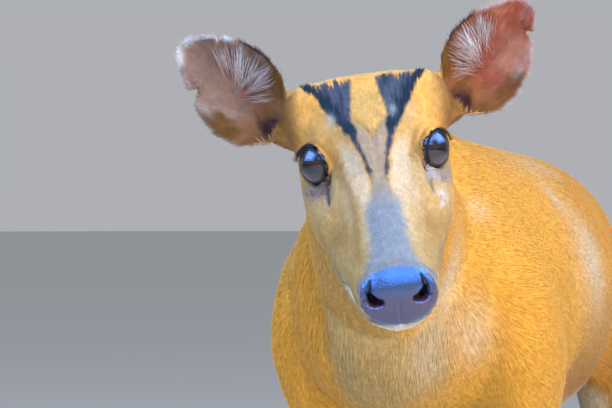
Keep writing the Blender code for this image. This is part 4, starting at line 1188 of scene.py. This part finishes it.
def lie_of_coat(points, facing):
    """Which way the hair lies at each place, along the skin."""
    body = to_body(points)
    head = to_head(points)
    x, y, z = body.T
    front = smooth_step(-facing[:, 1], 0.35, 0.85) * smooth_step(-y, 30, 80)
    down = smooth_step(-z, -330, -262)
    lie = np.column_stack((0 * x, 1 + 0 * x, -0.22 - 0.15 * smooth_step(-z, -420, -340)))
    lie = tint(lie, (0.0, 0.18, -1.0), front)
    lie = tint(lie, (0.0, 0.45, -1.0), 0.8 * smooth_step(y, 330, 420) * smooth_step(-z, -450, -380))
    belly = smooth_step(-facing[:, 2], 0.6, 0.9) * (z > 280)
    lie = tint(lie, (0.0, 0.12, -1.0), down * (1 - belly))
    lie = tint(lie, (0.0, 0.25, -1.0), smooth_step(y, 498, 515))
    beyond_nape = (body - NAPE_POINT) @ NAPE_NORMAL
    cheek = smooth_step(-head[:, 2], 5, 50) * smooth_step(head[:, 1], -60, 0)
    on_face = np.column_stack((0.12 * np.sign(head[:, 0]), 1 + 0 * x, 0.25 - 0.9 * cheek))
    lie = tint(lie, on_face @ HEAD_AXES.T, smooth_step(beyond_nape, -25, 25))
    for side in (1, -1):
        along, _, beside = by_ear(head, side, 44)
        to_tip = (on_ear(EAR_TIP, side) - on_ear(EAR_ROOT, side)) @ HEAD_AXES.T
        lie = tint(lie, to_tip / np.linalg.norm(to_tip), smooth_step(along, -2, 6) * beside)
    for side in (1, -1):
        outward = unit(square_to(points - from_head(EYE_CENTRE * (side, 1, 1)), facing))
        distance, _, share = eye_reading(head, side)
        near = (1 - smooth_step(share, 1.3, 2.3)) * (1 - smooth_step(distance, 20, 30))
        inward = np.minimum(np.sum(lie * outward, axis=1) - 0.35, 0)
        lie = lie - outward * (inward * near)[:, None]
    return unit(square_to(lie, facing))


def hair_size(points):
    """Length and width of the hair at each place, in millimetres."""
    body = to_body(points)
    head = to_head(points)
    beyond_nape = (body - NAPE_POINT) @ NAPE_NORMAL
    on_leg = smooth_step(-body[:, 2], -300, -200)
    length = mix(BODY_HAIR, LEG_HAIR, on_leg)
    width = mix(BODY_BREADTH, LEG_BREADTH, on_leg)
    length = mix(length, TAIL_HAIR, smooth_step(body[:, 1], 502, 520))
    face_length = mix(NOSE_HAIR, FACE_HAIR, smooth_step(head[:, 1], -95, -20))
    face_length = mix(face_length, CROWN_HAIR, smooth_step(head[:, 1], 20, 70))
    face_width = mix(NOSE_BREADTH, FACE_BREADTH, smooth_step(head[:, 1], -95, 0))
    for side in (1, -1):
        distance, _, share = eye_reading(head, side)
        near_eye = (1 - smooth_step(share, 1.1, 1.8)) * (distance < 1.8 * EYE_RADIUS)
        face_length = mix(face_length, LID_HAIR, near_eye)
        along, wide, beside = by_ear(head, side, 44)
        outer_part = smooth_step(np.maximum(np.abs(wide), along / 78), 0.7, 0.93)
        ear_length = mix(EAR_HAIR, EAR_RIM_HAIR, outer_part)
        face_length = np.where((along > 2) & beside, ear_length, face_length)
    on_head = smooth_step(beyond_nape, -25, 20)
    return mix(length, face_length, on_head), mix(width, face_width, on_head)


def corner_values(mesh):
    """The triangles' corners, and their places on the flat layout."""
    corners = np.empty(len(mesh.loops), np.int32)
    mesh.loops.foreach_get("vertex_index", corners)
    flat = np.empty(len(mesh.loops) * 2)
    mesh.uv_layers["OFBake"].data.foreach_get("uv", flat)
    return corners.reshape(-1, 3), flat.reshape(-1, 3, 2)


points = places_of(skin.data)
normals = normals_of(skin.data)
corners, flat = corner_values(skin.data)
first, second, third = (points[corners[:, k]] for k in range(3))
triangle_areas = np.linalg.norm(np.cross(second - first, third - first), axis=1) / 2 / MM**2
middles = points[corners].mean(axis=1)
facings = unit(normals[corners].mean(axis=1))
_, middle_leather, middle_cup = markings_and_painted_light(middles, facings)
long, broad = hair_size(middles)
wanted = COVER * triangle_areas / (0.5 * long * broad)
head_middles = to_head(middles)
over_nose = 2.2 * smooth_step(front_view(head_middles)[:, 1], -76, -68)
wanted = wanted * (middle_leather < over_nose - 0.3) * (middle_cup < 0.25)
for side in (1, -1):
    distance, _, share = eye_reading(head_middles, side)
    wanted = wanted * ~((share < 1.12) & (distance < 1.5 * EYE_RADIUS))
wanted = wanted * (to_body(middles)[:, 2] > 16)
random = np.random.default_rng(COAT_SEED)


def choose_triangles(wanted):
    """Picks a triangle for each hair at random, by how many hairs each triangle wants."""
    at = np.cumsum(wanted) / wanted.sum()
    return np.searchsorted(at, random.random(int(wanted.sum()))).clip(0, len(corners) - 1)


def roots_on(chosen, weights):
    """Roots on the chosen triangles, which way the skin faces there, and their places on the layout."""
    roots = np.einsum("nk,nkj->nj", weights, points[corners[chosen]])
    facing = unit(np.einsum("nk,nkj->nj", weights, normals[corners[chosen]]))
    return roots, facing, np.einsum("nk,nkj->nj", weights, flat[chosen])


hair, tree, shader = material("short hair", COAT_PLAIN, 0.5, Specular_IOR_Level=0.05, Sheen_Weight=0.05)
marking_and_painted_light = node(tree, "ShaderNodeAttribute", attribute_name="marking_and_painted_light")
place = node(tree, "ShaderNodeTexCoord")
streak = node(tree, "ShaderNodeTexNoise", Vector=place.outputs["Object"], Scale=260.0, Detail=2.0)
spread = node(tree, "ShaderNodeMapRange", I0=streak.outputs["Fac"], I1=0.3, I2=0.7, I3=0.86, I4=1.12)
varied = node(
    tree, "ShaderNodeVectorMath",
    operation="SCALE", I0=marking_and_painted_light.outputs["Color"], Scale=spread.outputs["Result"]
)
tree.links.new(varied.outputs["Vector"], shader.inputs["Base Color"])
shader.inputs["Sheen Roughness"].default_value = 0.4


def tufts(name, roots, facing, lie, length, width, rise, colours, flat_places):
    """A piece of coat: one mesh of slim two-faced blades that lie along the skin."""
    count = len(roots)
    across = np.cross(facing, lie)
    waist = roots + lie * (length * TUFT_SHARE)[:, None] + facing * (0.6 * rise)[:, None]
    tip = roots + lie * length[:, None] + facing * rise[:, None]
    base = roots - facing * 0.15 * MM
    half = across * (np.broadcast_to(width, count) / 2)[:, None]
    places = np.stack((base, waist - half, waist + half, tip), axis=1).reshape(-1, 3)
    order = np.arange(count, dtype=np.int64)[:, None] * 4 + np.array((0, 1, 2, 1, 3, 2))
    mesh = bpy.data.meshes.new(name)
    mesh.vertices.add(count * 4)
    mesh.vertices.foreach_set("co", places.astype(np.float32).ravel())
    mesh.loops.add(count * 6)
    mesh.loops.foreach_set("vertex_index", order.astype(np.int32).ravel())
    mesh.polygons.add(count * 2)
    mesh.polygons.foreach_set("loop_start", np.arange(0, count * 6, 3, dtype=np.int32))
    tones = (colours[:, None, :] * TUFT_SHADE[None, :, None]).reshape(-1, 3)
    write_colours(mesh, "marking_and_painted_light", np.clip(tones, 0, 1))
    corner_offsets = np.array(((0, -1), (-1, 0), (1, 0), (-1, 0), (0, 1), (1, 0))) * PATCH
    spots = (flat_places[:, None, :] + corner_offsets[None]).reshape(-1, 2)
    mesh.uv_layers.new(name="OFBake")
    mesh.uv_layers["OFBake"].data.foreach_set("uv", spots.astype(np.float32).ravel())
    mesh.update()
    mesh.shade_smooth()
    bend = np.stack((facing, unit(facing - across * 0.3), unit(facing + across * 0.3), facing), axis=1)
    mesh.normals_split_custom_set_from_vertices(bend.reshape(-1, 3))
    mesh.materials.append(hair)
    made = bpy.data.objects.new(name, mesh)
    scene.collection.objects.link(made)
    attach(made, "root")


chosen = choose_triangles(wanted)
count = len(chosen)
weights = random.random((count, 2))
flipped = weights.sum(axis=1) > 1
weights[flipped] = 1 - weights[flipped]
weights = np.column_stack((1 - weights.sum(axis=1), weights))
roots, facing, flat_places = roots_on(chosen, weights)
lie = lie_of_coat(roots, facing)
swerve = random.normal(0, 0.09, count) + 0.04 * mottle(roots, 0.012) + 0.06 * mottle(roots, 0.04)
lie = unit(lie + np.cross(facing, lie) * swerve[:, None])
length, width = hair_size(roots)
length = length * random.uniform(0.75, 1.25, count)
width = width * random.uniform(0.8, 1.2, count)
rise = length * random.uniform(0.03, 0.10, count)
colours, root_leather, _ = markings_and_painted_light(roots, facing)
fringe = (root_leather > -0.8) & (front_view(to_head(roots))[:, 1] > -76)
colours[fringe] = GREY_NOSE * 0.9
colours = colours * np.exp(random.normal(0, 0.10, count))[:, None]
order = np.argsort(to_body(roots)[:, 1])
for k, part in enumerate(np.array_split(order, math.ceil(count / PIECE_TUFTS))):
    tufts(
        f"coat_{k + 1}", roots[part], facing[part], lie[part], length[part] * MM, width[part] * MM,
        rise[part] * MM, colours[part], flat_places[part]
    )


# Hair inside the ears
# Sparse short hairs lie outward from the canal over the whole cup. Long white ones grow in locks along the
# margin nearest the crown, and sweep inward to meet in the middle of the cup.

MEETING_ALONG, MEETING_WIDE = 32.0, -0.12
LOCK_MARGIN = ((8, 14, 20, 28, 47, 58), (0.40, 0.75, 1.0, 1.0, 0.97, 0.85))
LOCKS = 44
LOCK_HAIRS = 6
LONGEST_LOCK = 26.0
SHORT_COVER = 1.5
DOWN_AREA = 0.5 * 3.8 * 0.26
DOWN_LENGTHS = (2.6, 5.0)
DOWN_WIDTHS = (0.16, 0.26)

cup_wanted = SHORT_COVER * triangle_areas / DOWN_AREA * (middle_cup > 0.5)
chosen = choose_triangles(cup_wanted)
cup_count = len(chosen)
roots, facing, flat_places = roots_on(chosen, random.dirichlet((1, 1, 1), cup_count))
head_roots = to_head(roots)
lie = np.zeros_like(roots)
bright = np.ones(cup_count)
for side in (1, -1):
    mine = head_roots[:, 0] * side > 0
    lie[mine] = roots[mine] - from_head(ear_point(side, 2.0, -0.2))
    along, wide, _ = ear_reading(head_roots, side)
    ray = np.column_stack((np.arctan2(wide * 27, along + 4) * 9, along / 22, 0 * along + side * 3))
    bright = np.where(mine, 1 + 0.25 * mottle(ray, 1.0), bright)
lie = unit(square_to(lie, facing))
lie = unit(lie + np.cross(facing, lie) * random.normal(0, 0.2, cup_count)[:, None])
colours, _, _ = markings_and_painted_light(roots, facing)
colours = colours * (bright * np.exp(random.normal(0, 0.12, cup_count)))[:, None] * 1.04
length = random.uniform(*DOWN_LENGTHS, cup_count) * MM
width = random.uniform(*DOWN_WIDTHS, cup_count) * MM
tufts("ear_down", roots, facing, lie, length, width, length * 0.06, colours, flat_places)

# Hairs placed one by one have no triangle, so each takes the patch of the triangle nearest its root
near_skin = KDTree(len(middles))
for i, middle in enumerate(middles):
    near_skin.insert(middle, i)
near_skin.balance()


def single_hairs(name, roots, facing, lie, length, width, rise, colours):
    """A piece of hairs placed one by one. They rise by a share of their length."""
    flat_places = np.array([flat[near_skin.find(root)[1]].mean(axis=0) for root in roots])
    facing = unit(square_to(facing, lie))
    tufts(name, roots, facing, lie, length, width * MM, length * rise, colours, flat_places)


hairs = []
for side in (1, -1):
    for _ in range(LOCKS):
        at = random.uniform(8, 58)
        wide = np.interp(at, *LOCK_MARGIN) * random.uniform(0.62, 1.0)
        meet_along = MEETING_ALONG + random.normal(0, 2.0)
        meet_wide = MEETING_WIDE + random.normal(0, 0.07)
        meet = ear_point(side, meet_along, meet_wide, 0.8)
        white = random.uniform(0.45, 0.8) + 0.3 * bell(at, 36, 7)
        lock_pink = random.uniform(0, 0.8) * (1 - 0.9 * bell(at, 35, 8))
        start_at = at + random.normal(0, 1.8, LOCK_HAIRS)
        start_wide = wide + random.normal(0, 0.09, LOCK_HAIRS)
        for hair_at, hair_wide in zip(start_at, start_wide):
            start = ear_point(side, hair_at, min(hair_wide, 1.0), 0.5)
            end = meet + random.normal(0, 2.4, 3)
            reach = random.uniform(0.3, 0.95) * np.linalg.norm(end - start)
            facing = ear_opening(side) @ HEAD_AXES.T
            hair_bright = white * random.uniform(0.85, 1.15)
            hairs.append((
                from_head(start), facing, (end - start) @ HEAD_AXES.T, min(reach, LONGEST_LOCK) * MM,
                hair_bright, lock_pink
            ))
roots, facing, lie, length, bright, pinker = (np.array(values) for values in zip(*hairs))
colours = tint(np.clip(EAR_WHITE * bright[:, None], 0, 0.9), EAR_LIGHT, pinker)
width = random.uniform(0.16, 0.28, len(roots))
single_hairs("ear_locks", roots, facing, unit(lie), length, width, 0.02, colours)


# Lashes
# Black lashes in two rows along the upper lid, longest at its outer end, where they sweep out and back.

LASH_ROWS = 2
LASH_TURNS = np.radians(np.linspace(4, 140, 80))
LASH_WIDTH = 0.24

hairs = []
for side in (1, -1):
    for turn in LASH_TURNS:
        lash_turn = turn + random.normal(0, 0.01)
        for row in range(LASH_ROWS):
            away = from_eye(lash_turn, 2.0 + 1.6 * row)
            sweep = round_eye(lash_turn) * 0.35 + EYE_BACK + EYE_AXIS * 0.25
            root = from_head((EYE_CENTRE + away * (EYE_RADIUS + 1.2)) * (side, 1, 1))
            outer_end = (3.4 if side < 0 else 1.6) * bell(lash_turn, 0, 0.6)
            lash = (2.3 + outer_end) * random.uniform(0.6, 1.1) * MM
            hairs.append((
                root, (away * (side, 1, 1)) @ HEAD_AXES.T, (sweep * (side, 1, 1)) @ HEAD_AXES.T, lash
            ))
roots, facing, lie, length = (np.array(values) for values in zip(*hairs))
lie = unit(unit(lie) + random.normal(0, 0.05, lie.shape))
colours = plain(LID_DARK, len(roots))
single_hairs("lashes", roots, facing, lie, length, LASH_WIDTH, 0.1, colours)


# Whiskers
# A few stiff dark hairs, rooted in the sides of the upper lip, stand out and back and droop at the tip.

WHISKERS = 12
WHISKER_WIDTH = 0.18

hairs = []
for side in (1, -1):
    for _ in range(WHISKERS):
        wanted_at = from_head(np.array((side * 26.0, random.uniform(-92, -68), random.uniform(-48, -30))))
        nearest = near_skin.find(wanted_at)[1]
        away = np.array((side * 1.0, random.uniform(-0.1, 0.9), random.uniform(-0.9, 0.0)))
        hairs.append((middles[nearest], upward, away @ HEAD_AXES.T, random.uniform(16, 27) * MM))
roots, facing, lie, length = (np.array(values) for values in zip(*hairs))
colours = plain(LID_DARK * 2, len(roots))
single_hairs("whiskers", roots, facing, unit(lie), length, WHISKER_WIDTH, -0.08, colours)


# Hooves and dewclaws
# Black horn, finely roughened by wear. The frame's own hooves and dewclaws show, with a finish of horn.

horn, tree, shader = material("hoof horn", (0.03, 0.027, 0.025), 0.42)
roughen(tree, shader, Scale=300.0, Strength=0.4)
for name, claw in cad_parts.items():
    if "hoof" in name or "dewclaw" in name:
        claw.data.materials.clear()
        claw.data.materials.append(horn)
